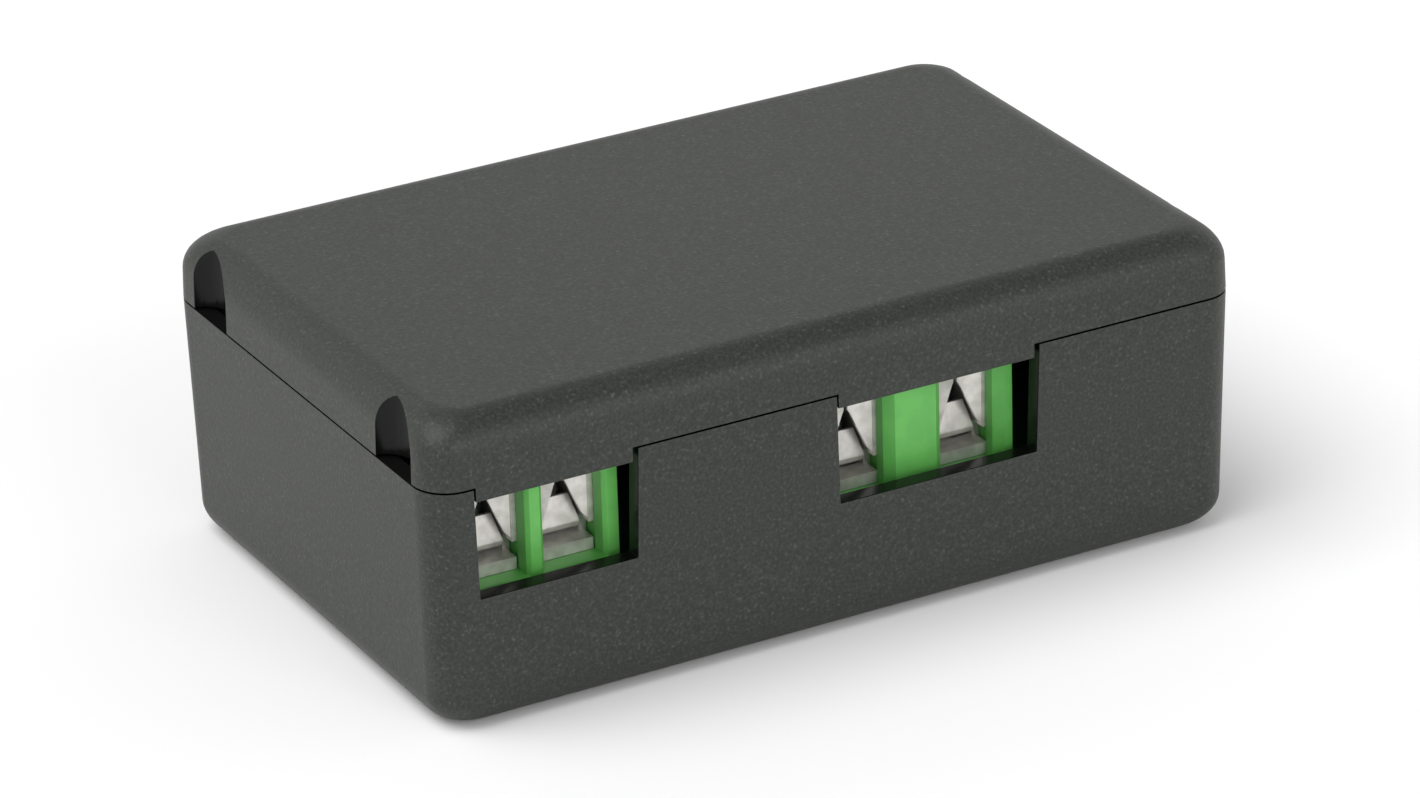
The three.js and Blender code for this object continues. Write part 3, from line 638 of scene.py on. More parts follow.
def snap_finger(side, y):
    inner = FINGER_OUTER - FINGER_THICKNESS
    ends = (y - FINGER_WIDTH / 2, y + FINGER_WIDTH / 2)
    finger = block((inner, ends[0], FINGER_FOOT), (FINGER_OUTER, ends[1], CEILING + WALL / 2))
    edit(finger, "EDGE")
    pick_edges(lambda a, b: max(a.z, b.z) < FINGER_FOOT + NEAR and min(a.x, b.x) > FINGER_OUTER - NEAR)
    bpy.ops.mesh.bevel(offset=FINGER_CHAMFER, segments=1, affect="EDGES")
    leave()
    weld(finger, block((inner, ends[0], LID_BOTTOM), (SIDE - WALL / 2, ends[1], CEILING + WALL / 4)))
    if side < 0:
        finger.scale.x = -1
        settle(finger)
        outwards(finger)
    return smooth_painted_shade_tool(finger)


def ring_block(inset, bottom, top):
    half = inset_size(inset) / 2
    ring = block((-half.x, LIP_FRONT, bottom), (half.x, half.y, top))
    edit(ring, "EDGE")
    pick_edges(lambda a, b: abs(a.z - b.z) > NEAR and min(a.y, b.y) > 0)
    bpy.ops.mesh.bevel(offset=CORNER_RADIUS - inset / 2, segments=CORNER_SEGMENTS, affect="EDGES")
    leave()
    return ring


def locating_lip():
    lip = ring_block(LIP_INSET, PARTING - LIP_DEPTH, LID_BOTTOM + LIP_DEPTH / 2)
    weld(lip, ring_block(WALL / 2, LID_BOTTOM, LID_BOTTOM + LIP_DEPTH))
    middle_part = ring_block(LIP_INSET + LIP_THICKNESS, PARTING - 2 * LIP_DEPTH, LID_BOTTOM + 2 * LIP_DEPTH)
    edit(middle_part, "FACE")
    pick_faces(lambda centre, normal: normal.y < -FACING)
    bpy.ops.transform.translate(value=(0, -MM, 0))
    leave()
    return smooth_painted_shade_tool(cut(lip, middle_part))


def window_tab(terminal):
    left, right = window_ends(terminal)
    tab = block((left + TAB_GAPS[0], FRONT, PARTING - TAB_HEIGHT),
                (right - TAB_GAPS[1], FRONT + WALL, LID_BOTTOM + TAB_ROOT))
    for material in CASE_FINISHES:
        tab.data.materials.append(material)
    # The tab's front takes the outside finish. Its other faces take the smooth finish, painted darker as
    # shade under the lid.
    for face in tab.data.polygons:
        face.material_index = ERODED if face.normal.y < -FACING else SMOOTH_PAINTED_SHADE
    return tab


# %% [markdown]
# ## The lid
# The lid is skinned like the base, upside down, and what hangs from it is welded on
# before the slots are cut. That order matters: a slot then also trims the root of the
# finger behind it, as one moulding would be.

# %% Lid
lid = moulded_half(lid_levels())
weld(lid, locating_lip())
for terminal in WINDOW_REACH:
    weld(lid, window_tab(terminal))
for side in (-1, 1):
    for centre in SLOT_CENTRES:
        weld(lid, snap_finger(side, centre))
        cut(lid, slot_tool(side, centre))
soften(lid, CASE_EDGE)
smooth(lid)
hand_over(lid, "lid moulding", "lid", "lid_shell")

# %% [markdown]
# ## The terminal housings
# A terminal is a moulded green block with one pocket for each wire. It could be built
# up from its thin walls. Cutting it from one box is closer to how it reads: the box
# gets its chamfered top edge, then the wire entries, the pockets behind them and the
# shafts for the screwdriver are cut out of it, and every edge is softened.

# %% Housing sizes
ENTRY = {
    "input": {"width": 3.92 * MM, "chamfer": 0.25 * MM, "floor": 1.1 * MM},
    "output": {"width": 3.68 * MM, "chamfer": 0.55 * MM, "floor": 0.5 * MM},
}
BLOCK_CHAMFER = 1.0 * MM
ENTRY_DEPTH = 1.3 * MM
ENTRY_TOP = 7.3 * MM
POCKET_WIDTH = 4.4 * MM
POCKET_BACK_WALL = 1.2 * MM
POCKET_HEADROOM = 0.06 * MM
ENTRY_STEP = 0.05 * MM
SHAFT_RADIUS = 2.0 * MM
PIN_SLOT_HALF = Vector((0.65, 0.5, 0)) * MM
HOUSING_EDGE = 0.1 * MM


def wire_entry(x, front, sizes):
    half = sizes["width"] / 2
    chamfer = sizes["chamfer"]
    bottom = BOARD_TOP + sizes["floor"] + ENTRY_STEP
    top = BOARD_TOP + ENTRY_TOP
    tool = block((x - half, front - MM, bottom), (x + half, front + ENTRY_DEPTH + MM, top))
    mouth = block((x - half, front - chamfer, bottom), (x + half, front + chamfer, top))
    edit(mouth, "FACE")
    pick_faces(lambda centre, normal: normal.y < -FACING)
    widened = 1 + 2 * chamfer / half
    bpy.ops.transform.resize(value=(widened, 1, 1), center_override=(x, front, bottom))
    leave()
    return weld(tool, mouth)


def terminal_housing(terminal):
    low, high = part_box(f"{terminal}_terminal_housing")
    sizes = ENTRY[terminal]
    housing = block(low, high)
    edit(housing, "EDGE")
    pick_edges(lambda a, b: min(a.z, b.z) > high.z - NEAR and max(a.y, b.y) < low.y + NEAR)
    bpy.ops.mesh.bevel(offset=BLOCK_CHAMFER, segments=1, affect="EDGES")
    leave()
    for pole in (1, 2):
        contact_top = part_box(f"clamp_contact_{terminal}_{pole}")[1].z
        spot = centre_of(f"clamp_screw_{terminal}_{pole}")
        pocket_top = contact_top + POCKET_HEADROOM
        cut(housing,
            wire_entry(spot.x, low.y, sizes),
            block((spot.x - POCKET_WIDTH / 2, low.y + ENTRY_DEPTH, BOARD_TOP + sizes["floor"]),
                  (spot.x + POCKET_WIDTH / 2, high.y - POCKET_BACK_WALL, pocket_top)),
            rod(spot.x, spot.y, pocket_top - MM, high.z + MM, SHAFT_RADIUS, 48),
            block((spot.x - PIN_SLOT_HALF.x, spot.y - PIN_SLOT_HALF.y, low.z - MM),
                  (spot.x + PIN_SLOT_HALF.x, spot.y + PIN_SLOT_HALF.y, BOARD_TOP + 2 * ENTRY_DEPTH)))
    housing.data.materials.append(terminal_green)
    soften(housing, HOUSING_EDGE)
    return smooth(housing)


for terminal in ENTRY:
    hand_over(terminal_housing(terminal), f"{terminal} terminal block", "base",
              f"{terminal}_terminal_housing")

# %% [markdown]
# ## The clamps
# Each pole has a bent sheet-metal clamp: a strip under the wire, two side walls, a
# thick threaded yoke and, in front, two wings that leave a narrow V for the wire. The
# walls and the yoke are what is left of one block after a few cuts. A wing could be
# bent from a flat sheet, but its edge is easier to set by height: levels are cut in a
# thin block with bisect, and the inner points of each are drawn in to the middle.

# %% Clamp sizes
CLAMP_HEIGHT = 6.7 * MM
CLAMP_SIDE = 0.48 * MM
CLAMP_YOKE = 1.4 * MM
CLAMP_YOKE_SETBACK = 1.85 * MM
CLAMP_THROAT = Vector((0, 1.3 * MM, 1.8 * MM))
STRIP_THICKNESS = 0.77 * MM
STRIP_HALF = 1.9 * MM
WING_THICKNESS = 0.3 * MM
WING_SLOPE = 0.2
WING_OPENING = ((1.75 * MM, 1.15 * MM), (1.3 * MM, 1.62 * MM), (0.3 * MM, 4.0 * MM), (0.13 * MM, 4.3 * MM))
PIN_HALF = Vector((0.5 * MM, 0.35 * MM, 0))
THREAD_RADIUS = 1.5 * MM
CONTACT_EDGE = 0.09 * MM
model_low, model_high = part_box("clamp_contact_input_1")
POLE = centre_of("clamp_screw_input_1")
CLAMP_FRONT = model_low.y
CLAMP_BACK = model_high.y
CLAMP_TOP = model_high.z
CLAMP_FLOOR = CLAMP_TOP - CLAMP_HEIGHT
STRIP_TOP = CLAMP_FLOOR + STRIP_THICKNESS
HALF = (model_high.x - model_low.x) / 2
print("clamp floor and top in mm:", round(CLAMP_FLOOR / MM, 2), round(CLAMP_TOP / MM, 2))


# %% Wing
def bisect(height):
    bpy.ops.mesh.select_all(action="SELECT")
    bpy.ops.mesh.bisect(plane_co=(0, 0, height), plane_no=(0, 0, 1))


def clamp_wing():
    foot = STRIP_TOP + WING_OPENING[0][1]
    inner_side = POLE.x + HALF - CLAMP_SIDE
    wing = block((inner_side, CLAMP_FRONT, foot), (POLE.x + HALF, CLAMP_FRONT + WING_THICKNESS, CLAMP_TOP))
    edit(wing, "VERT")
    for across, above in WING_OPENING[1:]:
        bisect(STRIP_TOP + above)
    reaches = [(STRIP_TOP + above, across) for across, above in WING_OPENING]
    reaches.append((CLAMP_TOP, WING_OPENING[-1][0]))
    for height, across in reaches:
        pick_points(lambda point: abs(point.z - height) < NEAR and abs(point.x - inner_side) < NEAR)
        back = WING_SLOPE * (HALF - across)
        bpy.ops.transform.translate(value=(POLE.x + across - inner_side, back, 0))
    leave()
    return wing


def mirrored(piece, x):
    twin = copy_by(piece, (0, 0, 0))
    edit(twin, "VERT")
    bpy.ops.mesh.select_all(action="SELECT")
    bpy.ops.transform.resize(value=(-1, 1, 1), center_override=(x, 0, 0))
    leave()
    return outwards(twin)


# %% Contact
def clamp_contact():
    depth = (CLAMP_FRONT, CLAMP_BACK)
    inner = HALF - CLAMP_SIDE
    contact = block((POLE.x - HALF, depth[0], CLAMP_FLOOR), (POLE.x + HALF, depth[1], CLAMP_TOP))
    cut(contact,
        block((POLE.x - inner, depth[0] - MM, STRIP_TOP),
              (POLE.x + inner, depth[1] + MM, CLAMP_TOP - CLAMP_YOKE)),
        block((POLE.x - inner, depth[0] - MM, STRIP_TOP),
              (POLE.x + inner, depth[0] + CLAMP_YOKE_SETBACK, CLAMP_TOP + MM)),
        block((POLE.x - HALF - MM, depth[0] - MM, CLAMP_FLOOR - MM),
              (POLE.x + HALF + MM, depth[0] + CLAMP_THROAT.y, CLAMP_FLOOR + CLAMP_THROAT.z)),
        rod(POLE.x, POLE.y, STRIP_TOP + MM, CLAMP_TOP + MM, THREAD_RADIUS, 40))
    wing = clamp_wing()
    weld(contact,
         block((POLE.x - STRIP_HALF, depth[0], CLAMP_FLOOR), (POLE.x + STRIP_HALF, depth[1], STRIP_TOP)),
         block((POLE.x - PIN_HALF.x, POLE.y - PIN_HALF.y, model_low.z),
               (POLE.x + PIN_HALF.x, POLE.y + PIN_HALF.y, CLAMP_FLOOR + STRIP_THICKNESS / 2)),
         mirrored(wing, POLE.x), wing)
    contact.data.materials.append(tin_plate)
    soften(contact, CONTACT_EDGE)
    return smooth(contact)


# %% [markdown]
# ## The leaves
# The screw presses on a strip of springy sheet, and the sheet presses on the wire. It
# runs under the screw, turns up in a round bend at the wire's entry and leans back
# above it. Two blocks and a cylinder would leave seams at the bend. A flat strip that
# is extruded from its front edge round that path has none, and Solidify gives it its
# thickness.

# %% Leaf
leaf_low, leaf_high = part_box("clamp_leaf_input_1")
LEAF_THICKNESS = 0.4 * MM
LEAF_BEND = 0.55 * MM
LEAF_LEAN = 0.4 * MM
LEAF_TAPER = 0.5 * MM
BEND_STEPS = 8
LEAF_EDGE = 0.06 * MM
print("leaf in mm:", [round(value / MM, 2) for value in leaf_high - leaf_low])


def clamp_leaf():
    half = (leaf_high.x - leaf_low.x) / 2
    middle_radius = LEAF_BEND - LEAF_THICKNESS / 2
    level = leaf_low.z + LEAF_THICKNESS / 2
    bend_y = leaf_low.y + LEAF_BEND
    deselect()
    bpy.ops.mesh.primitive_plane_add(size=1, location=(POLE.x, (bend_y + leaf_high.y) / 2, level))
    leaf = bpy.context.object
    leaf.scale = (2 * half, leaf_high.y - bend_y, 1)
    settle(leaf)
    edit(leaf, "EDGE")
    pick_edges(lambda a, b: max(a.y, b.y) < bend_y + NEAR)
    before = Vector((0, 0, -middle_radius))
    for number in range(1, BEND_STEPS + 1):
        angle = number / BEND_STEPS * math.pi / 2
        after = Vector((0, -middle_radius * math.sin(angle), -middle_radius * math.cos(angle)))
        extrude_edges(after - before)
        before = after
    rise = leaf_high.z - leaf_low.z - LEAF_BEND
    extrude_edges((0, LEAF_LEAN, rise))
    narrow = (half - LEAF_TAPER) / half
    bpy.ops.transform.resize(value=(narrow, 1, 1), center_override=(POLE.x, 0, 0))
    leave()
    take(leaf)
    sheet = leaf.modifiers.new("sheet", "SOLIDIFY")
    sheet.thickness = LEAF_THICKNESS
    sheet.offset = 0
    bpy.ops.object.modifier_apply(modifier=sheet.name)
    outwards(leaf)
    leaf.data.materials.append(tin_plate)
    soften(leaf, LEAF_EDGE)
    return smooth(leaf)


# %% [markdown]
# ## The clamping screws
# A steel screw has a cheese head with a driver slot and a threaded shank. A true
# thread is a helix, which a Screw modifier could turn. So little of it shows between
# the yoke and the leaf that rings do as well: the shank is extruded ring by ring, out
# to each thread's crest and back to its root.

# %% Screw
screw_low, screw_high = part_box("clamp_screw_input_1")
SHANK_RADIUS = 1.4 * MM
THREAD_DEPTH = 0.16 * MM
THREAD_PITCH = 0.5 * MM
HEAD_HEIGHT = 1.4 * MM
HEAD_RADIUS = (screw_high.x - screw_low.x) / 2
HEAD_ROUNDING = 0.3 * MM
DRIVER_SLOT = Vector((0, 0.3 * MM, 0.7 * MM))
SCREW_EDGE = 0.06 * MM
print("screw height in mm:", round((screw_high.z - screw_low.z) / MM, 2))


def resize_ring(ratio, x, y, height):
    bpy.ops.transform.resize(value=(ratio, ratio, 1), center_override=(x, y, height))


def threaded_shank(x, y, bottom, top):
    root = SHANK_RADIUS - THREAD_DEPTH
    shank = rod(x, y, bottom, bottom + THREAD_PITCH / 4, root, 32)
    edit(shank, "FACE")
    pick_faces(lambda centre, normal: normal.z > FACING)
    height = bottom + THREAD_PITCH / 4
    half_pitch = THREAD_PITCH / 2
    for number in range(int((top - height) / THREAD_PITCH)):
        for ratio in (SHANK_RADIUS / root, root / SHANK_RADIUS):
            height += half_pitch
            extrude_faces((0, 0, half_pitch))
            resize_ring(ratio, x, y, height)
    extrude_faces((0, 0, top - height))
    leave()
    return shank


def clamp_screw():
    head_bottom = screw_high.z - HEAD_HEIGHT
    screw = rod(POLE.x, POLE.y, head_bottom, screw_high.z, HEAD_RADIUS, 48)
    edit(screw, "EDGE")
    pick_edges(lambda a, b: min(a.z, b.z) > screw_high.z - NEAR)
    bpy.ops.mesh.bevel(offset=HEAD_ROUNDING, segments=4, affect="EDGES")
    leave()
    cut(screw, block((POLE.x - 2 * HEAD_RADIUS, POLE.y - DRIVER_SLOT.y, screw_high.z - DRIVER_SLOT.z),
                     (POLE.x + 2 * HEAD_RADIUS, POLE.y + DRIVER_SLOT.y, screw_high.z + MM)))
    soften(screw, SCREW_EDGE)
    gather(screw, threaded_shank(POLE.x, POLE.y, screw_low.z, head_bottom + HEAD_HEIGHT / 4))
    screw.data.materials.clear()
    screw.data.materials.append(zinc_plate)
    return smooth(screw)


# %% [markdown]
# ## One clamp for each pole
# The four poles hold the same contact, leaf and screw. Linked copies would share one
# mesh, but a piece that rides its own body needs its own, so the model is copied by
# the step from its pole to the other, mesh and all. A leaf only slides, and a screw
# also turns.

# %% One clamp for each pole
CLAMP_PIECES = {
    "contact": (clamp_contact(), "tinned_brass"),
    "leaf": (clamp_leaf(), "tinned_brass"),
    "screw": (clamp_screw(), "screw_steel"),
}
for terminal in ENTRY:
    for pole in (1, 2):
        for kind, (model, metal) in CLAMP_PIECES.items():
            node = f"clamp_{kind}_{terminal}_{pole}"
            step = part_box(node)[1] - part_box(f"clamp_{kind}_input_1")[1]
            body = "base" if kind == "contact" else f"{kind}_{terminal}_{pole}"
            hand_over(copy_by(model, step), f"{terminal} {pole} {kind}", body, node)
for model, metal in CLAMP_PIECES.values():
    bpy.data.objects.remove(model)

# %% [markdown]
# ## The circuit board
# The board is a glass-fibre plate under green solder resist, with a hole for every
# lead, pin and screw. A texture could stand in for the holes, but they are cut, so
# that the board is right from both sides. The places of the holes are worked out
# here from the pieces that stand on it.

# %% Component places
FUSES = ("line_fuse_1", "line_fuse_2")
CHOKES = ("line_choke_1", "line_choke_2")
VARISTORS = ("line_varistor_1", "line_varistor_2")
LEAD_RADIUS = 0.35 * MM
LEAD_PITCH = {"line_fuse": 5.08 * MM, "line_choke": 5.0 * MM, "line_varistor": 5.0 * MM,
              "gas_discharge_tube": 9.6 * MM, "suppressor_diode": 13.0 * MM}
COMPONENTS = (*FUSES, *CHOKES, *VARISTORS, "gas_discharge_tube", "suppressor_diode")


def lead_spots(node):
    spot = centre_of(node)
    kind = node if node in LEAD_PITCH else node.rsplit("_", 1)[0]
    half = LEAD_PITCH[kind] / 2
    return [(spot.x - half, spot.y), (spot.x + half, spot.y)]


all_leads = [spot for node in COMPONENTS for spot in lead_spots(node)]
pin_spots = [(centre_of(f"clamp_screw_{terminal}_{pole}").x, POLE.y)
             for terminal in ENTRY for pole in (1, 2)]
print("leads:", len(all_leads), "pins:", len(pin_spots))

# %% Board plate
BOARD_CORNER = 1.2 * MM
HOLE_CLEARANCE = 0.15 * MM
SCREW_HOLE_RADIUS = 1.2 * MM


def board_plate():
    low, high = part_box("circuit_board")
    plate = block(low, high)
    edit(plate, "EDGE")
    pick_edges(lambda a, b: abs(a.z - b.z) > NEAR)
    bpy.ops.mesh.bevel(offset=BOARD_CORNER, segments=6, affect="EDGES")
    leave()
    for x, y in all_leads:
        cut(plate, rod(x, y, low.z - MM, high.z + MM, LEAD_RADIUS + HOLE_CLEARANCE, 16))
    for x, y in pin_spots:
        reach = PIN_HALF + Vector((HOLE_CLEARANCE, HOLE_CLEARANCE, 0))
        cut(plate, block((x - reach.x, y - reach.y, low.z - MM), (x + reach.x, y + reach.y, high.z + MM)))
    for screw in BOARD_SCREWS:
        spot = centre_of(screw)
        cut(plate, rod(spot.x, spot.y, low.z - MM, high.z + MM, SCREW_HOLE_RADIUS, 32))
    plate.data.materials.append(board_green)
    return smooth(plate)


hand_over(board_plate(), "board plate", "base", "circuit_board")

# %% [markdown]
# ## The tracks
# Copper tracks show as slightly raised, lighter bands. Colour alone could draw them,
# but a band with real height catches the light at its edge. Those on top join an input
# pole to its fuse, the fuses to the varistors, the tube to the diode, and the chokes to
# the output poles. The rest would run underneath and are left out.

# %% Tracks
TRACK_WIDTH = 2.2 * MM
TRACK_HEIGHT = 0.035 * MM
TRACK_ROUNDING = 0.49 * TRACK_WIDTH
CROSSING_STEP = 0.005 * MM


def track(start, end):
    """A straight track from point to point. One along Y is a hair thinner and narrower,
    so that no faces lie in one another where two tracks meet."""
    step = CROSSING_STEP if start[0] == end[0] else 0
    half = TRACK_WIDTH / 2 - step
    rise = TRACK_HEIGHT - step
    low = (min(start[0], end[0]) - half, min(start[1], end[1]) - half, BOARD_TOP - rise)
    high = (max(start[0], end[0]) + half, max(start[1], end[1]) + half, BOARD_TOP + rise)
    strip = block(low, high)
    edit(strip, "EDGE")
    pick_edges(lambda a, b: abs(a.z - b.z) > NEAR)
    bpy.ops.mesh.bevel(offset=TRACK_ROUNDING, segments=4, affect="EDGES")
    leave()
    return strip


def route(start, y, end):
    """Three tracks: from the start along Y, then along X, and along Y again to the end."""
    corners = [start, (start[0], y), (end[0], y), end]
    return [track(corners[index], corners[index + 1]) for index in range(len(corners) - 1)]


fuse_leads = [lead_spots(node) for node in FUSES]
choke_leads = [lead_spots(node) for node in CHOKES]
varistor_leads = [lead_spots(node) for node in VARISTORS]
diode_leads = lead_spots("suppressor_diode")
tube_leads = lead_spots("gas_discharge_tube")
row_gap = (fuse_leads[0][0][1] + varistor_leads[0][0][1]) / 2
lane = (fuse_leads[0][0][1] + pin_spots[0][1]) / 2
ROUTES = (
    (pin_spots[0], lane, fuse_leads[0][0]),
    (fuse_leads[0][1], row_gap, varistor_leads[0][1]),
    (fuse_leads[1][1], row_gap, varistor_leads[1][0]),
    (tube_leads[1], row_gap, diode_leads[0]),
    (choke_leads[1][1], lane, pin_spots[3]),
    (choke_leads[0][0], lane + MM, pin_spots[2]))
strips = [strip for start, y, end in ROUTES for strip in route(start, y, end)]
tracks = strips[0]
weld(tracks, *strips[1:])
tracks.data.materials.append(track_green)
hand_over(tracks, "board tracks", "base", None)

# %% [markdown]
# ## The solder
# Every lead and pin is soldered underneath, and a tinned ring shows round each lead on
# top. Solder wets the lead and thins out along it in a hollow curve. A plain cone
# would look stiff, so its slanted edges are subdivided and the new rings are drawn in.

# %% Solder
SOLDER_RADIUS = 0.95 * MM
SOLDER_HEIGHT = 0.8 * MM
SOLDER_TIP = 1.05 * LEAD_RADIUS
SOLDER_HOLLOW = 0.3
PAD_HEIGHT = 0.04 * MM


def solder_joint(x, y):
    """A round pad under the board with a cone of solder that climbs the lead."""
    deselect()
    bpy.ops.mesh.primitive_cone_add(
        vertices=20, radius1=SOLDER_TIP, radius2=SOLDER_RADIUS, depth=SOLDER_HEIGHT,
        location=(x, y, BOARD_BOTTOM - SOLDER_HEIGHT / 2))
    joint = settle(bpy.context.object)
    edit(joint, "EDGE")
    pick_edges(lambda a, b: abs(a.z - b.z) > NEAR)
    bpy.ops.mesh.subdivide(number_cuts=3)
    for fraction in (0.25, 0.5, 0.75):
        height = BOARD_BOTTOM - SOLDER_HEIGHT * (1 - fraction)
        pick_points(lambda point: abs(point.z - height) < NEAR)
        hollow = 1 - SOLDER_HOLLOW * math.sin(fraction * math.pi)
        bpy.ops.transform.resize(value=(hollow, hollow, 1), center_override=(x, y, height))
    leave()
    return joint


def top_ring(x, y):
    ring = rod(x, y, BOARD_TOP - PAD_HEIGHT, BOARD_TOP + PAD_HEIGHT, SOLDER_RADIUS, 24)
    return cut(ring, rod(x, y, BOARD_TOP - MM, BOARD_TOP + MM, LEAD_RADIUS + HOLE_CLEARANCE, 16))


joints = [solder_joint(x, y) for x, y in (*all_leads, *pin_spots)]
joints += [top_ring(x, y) for x, y in all_leads]
solder_work = gather(joints[0], *joints[1:])
solder_work.data.materials.append(solder)
smooth(solder_work)
hand_over(solder_work, "solder joints", "base", None)

# %% [markdown]
# ## The protective components
# A component is a simple body on two tinned leads. Leads that drop straight down are
# rods, and leads that leave a lying body's ends are bent over first. A curve with a
# round bevel could be such a lead. A spin of the rod's end face round the bend gives
# the same shape as a mesh at once.

# %% Leads
LEAD_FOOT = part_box("line_fuse_1")[0].z
STAND_OFF = 0.3 * MM
print("leads end at", round(LEAD_FOOT / MM, 2), "mm")


def straight_leads(node, top):
    return [rod(x, y, LEAD_FOOT, top, LEAD_RADIUS, 16) for x, y in lead_spots(node)]


def bent_lead(x, y, height, inwards):
    """A lead that comes up to a bend and turns towards the body's end."""
    bend = 2 * LEAD_RADIUS
    lead = rod(x, y, LEAD_FOOT, height - bend, LEAD_RADIUS, 16)
    edit(lead, "FACE")
    pick_faces(lambda centre, normal: normal.z > FACING)
    bpy.ops.mesh.spin(steps=6, angle=math.pi / 2 * inwards, center=(x + bend * inwards, y, height - bend),
                      axis=(0, 1, 0), dupli=False)
    pick_faces(lambda centre, normal: normal.x * inwards > FACING and centre.z > height - 2 * LEAD_RADIUS)
    extrude_faces((inwards * MM, 0, 0))
    leave()
    return outwards(lead)


# %% [markdown]
# ## The fuses
# A small board fuse is a round black case with a shallow hollow in its lid. A second
# cylinder could be cut out of the top. Inset and extrude make the same hollow from the
# top face alone.

# %% Fuses
FUSE_RIM = 0.9 * MM
FUSE_HOLLOW = 0.15 * MM
FUSE_EDGE = 0.3 * MM


def fuse(node):
    low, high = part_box(node)
    spot = centre_of(node)
    radius = (high.x - low.x) / 2
    bottom = BOARD_TOP + STAND_OFF
    body = rod(spot.x, spot.y, bottom, high.z, radius, 64)
    edit(body, "FACE")
    pick_faces(lambda centre, normal: normal.z > FACING)
    bpy.ops.mesh.inset(thickness=FUSE_RIM)
    extrude_faces((0, 0, -FUSE_HOLLOW))
    leave()
    soften(body, FUSE_EDGE, 3)
    body.data.materials.append(fuse_black)
    leads = straight_leads(node, bottom + STAND_OFF)
    for lead in leads:
        lead.data.materials.append(tin_plate)
    gather(body, *leads)
    return smooth(body)


for node in FUSES:
    hand_over(fuse(node), node.replace("_", " "), "base", node)


# %% [markdown]
# ## The varistors
# A varistor is a disc dipped in lacquer, which rounds its rim and runs a little way
# down its leads. A squashed ball would be too pointed at the rim. A short cylinder
# with a wide bevel keeps flat sides and a round edge.

# %% Varistors
DISC_ROUNDING = 0.42
NECK_FOOT = 0.4 * MM
NECK_RADIUS = 0.62 * MM
NECK_EDGE = 0.25 * MM


def varistor(node):
    low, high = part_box(node)
    spot = centre_of(node)
    radius = (high.x - low.x) / 2
    thickness = high.y - low.y
    centre = high.z - radius
    deselect()
    bpy.ops.mesh.primitive_cylinder_add(vertices=64, radius=radius, depth=thickness,
                                        location=(spot.x, spot.y, centre), rotation=(math.pi / 2, 0, 0))
    disc = settle(bpy.context.object)
    soften(disc, DISC_ROUNDING * thickness, 6, 60)
    disc.data.materials.append(varistor_blue)
    necks = [rod(x, y, BOARD_TOP + NECK_FOOT, centre - radius / 2, NECK_RADIUS, 20)
             for x, y in lead_spots(node)]
    for neck in necks:
        soften(neck, NECK_EDGE, 3)
        neck.data.materials.append(varistor_blue)
    leads = straight_leads(node, centre - radius / 2)
    for lead in leads:
        lead.data.materials.append(tin_plate)
    gather(disc, *necks, *leads)
    return smooth(disc)


for node in VARISTORS:
    hand_over(varistor(node), node.replace("_", " "), "base", node)


# %% [markdown]
# ## The gas discharge tube
# The tube is a ceramic ring between two metal caps. One cylinder with two materials
# could stand for it, but the caps are slightly larger, so three rods that overlap show
# the steps between them.

# %% Gas discharge tube
RING_LENGTH = 3.6 * MM
RING_BELOW_CAP = 0.25 * MM
CAP_LENGTH = 1.3 * MM
CAP_PLACE = 2.35 * MM
CAP_EDGE = 0.2 * MM


def gas_tube(node):
    low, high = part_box(node)
    spot = centre_of(node)
    centre = Vector((spot.x, spot.y, high.z - (high.y - low.y) / 2))
    radius = (high.y - low.y) / 2
    body = lying_rod(centre, RING_LENGTH, radius - RING_BELOW_CAP, 48)
    body.data.materials.append(tube_white)
    caps = [lying_rod(centre + Vector((side * CAP_PLACE, 0, 0)), CAP_LENGTH, radius, 48) for side in (-1, 1)]
    for cap in caps:
        soften(cap, CAP_EDGE, 3)
        cap.data.materials.append(zinc_plate)
    leads = [bent_lead(x, y, centre.z, 1 if x < spot.x else -1) for x, y in lead_spots(node)]
    for lead in leads:
        lead.data.materials.append(tin_plate)
    gather(body, *caps, *leads)
    return smooth(body)


hand_over(gas_tube("gas_discharge_tube"), "gas discharge tube body", "base",
          "gas_discharge_tube")


# %% [markdown]
# ## The chokes
# A choke is a ferrite drum with enamelled copper wire wound on its waist. A helix
# could be wound as a curve. Rings that touch look the same from outside and close on
# themselves, with no ends to hide.

# %% Chokes
WIRE_RADIUS = 0.28 * MM
WINDING_DEPTH = 0.5 * MM
WAIST_DEPTH = 1.1 * MM
FLANGE_HEIGHT = 1.2 * MM
DRUM_EDGE = 0.2 * MM


def choke(node):
    low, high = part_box(node)
    spot = centre_of(node)
    radius = (high.x - low.x) / 2
    bottom = BOARD_TOP + STAND_OFF
    drum = rod(spot.x, spot.y, bottom, bottom + FLANGE_HEIGHT, radius, 64)
    upper = rod(spot.x, spot.y, high.z - FLANGE_HEIGHT, high.z, radius, 64)
    waist_ends = (bottom + FLANGE_HEIGHT / 2, high.z - FLANGE_HEIGHT / 2)
    waist = rod(spot.x, spot.y, *waist_ends, radius - WAIST_DEPTH, 32)
    weld(drum, waist, upper)
    soften(drum, DRUM_EDGE, 3)
    drum.data.materials.append(ferrite)
    turns = []
    height = bottom + FLANGE_HEIGHT + WIRE_RADIUS
    while height < high.z - FLANGE_HEIGHT - WIRE_RADIUS / 2:
        deselect()
        bpy.ops.mesh.primitive_torus_add(
            location=(spot.x, spot.y, height), major_radius=radius - WINDING_DEPTH - WIRE_RADIUS,
            minor_radius=WIRE_RADIUS, major_segments=48, minor_segments=8)
        turns.append(settle(bpy.context.object))
        turns[-1].data.materials.append(winding_copper)
        height += 2 * WIRE_RADIUS
    leads = straight_leads(node, bottom + STAND_OFF)
    for lead in leads:
        lead.data.materials.append(tin_plate)
    gather(drum, *turns, *leads)
    return smooth(drum)


for node in CHOKES:
    hand_over(choke(node), node.replace("_", " "), "base", node)


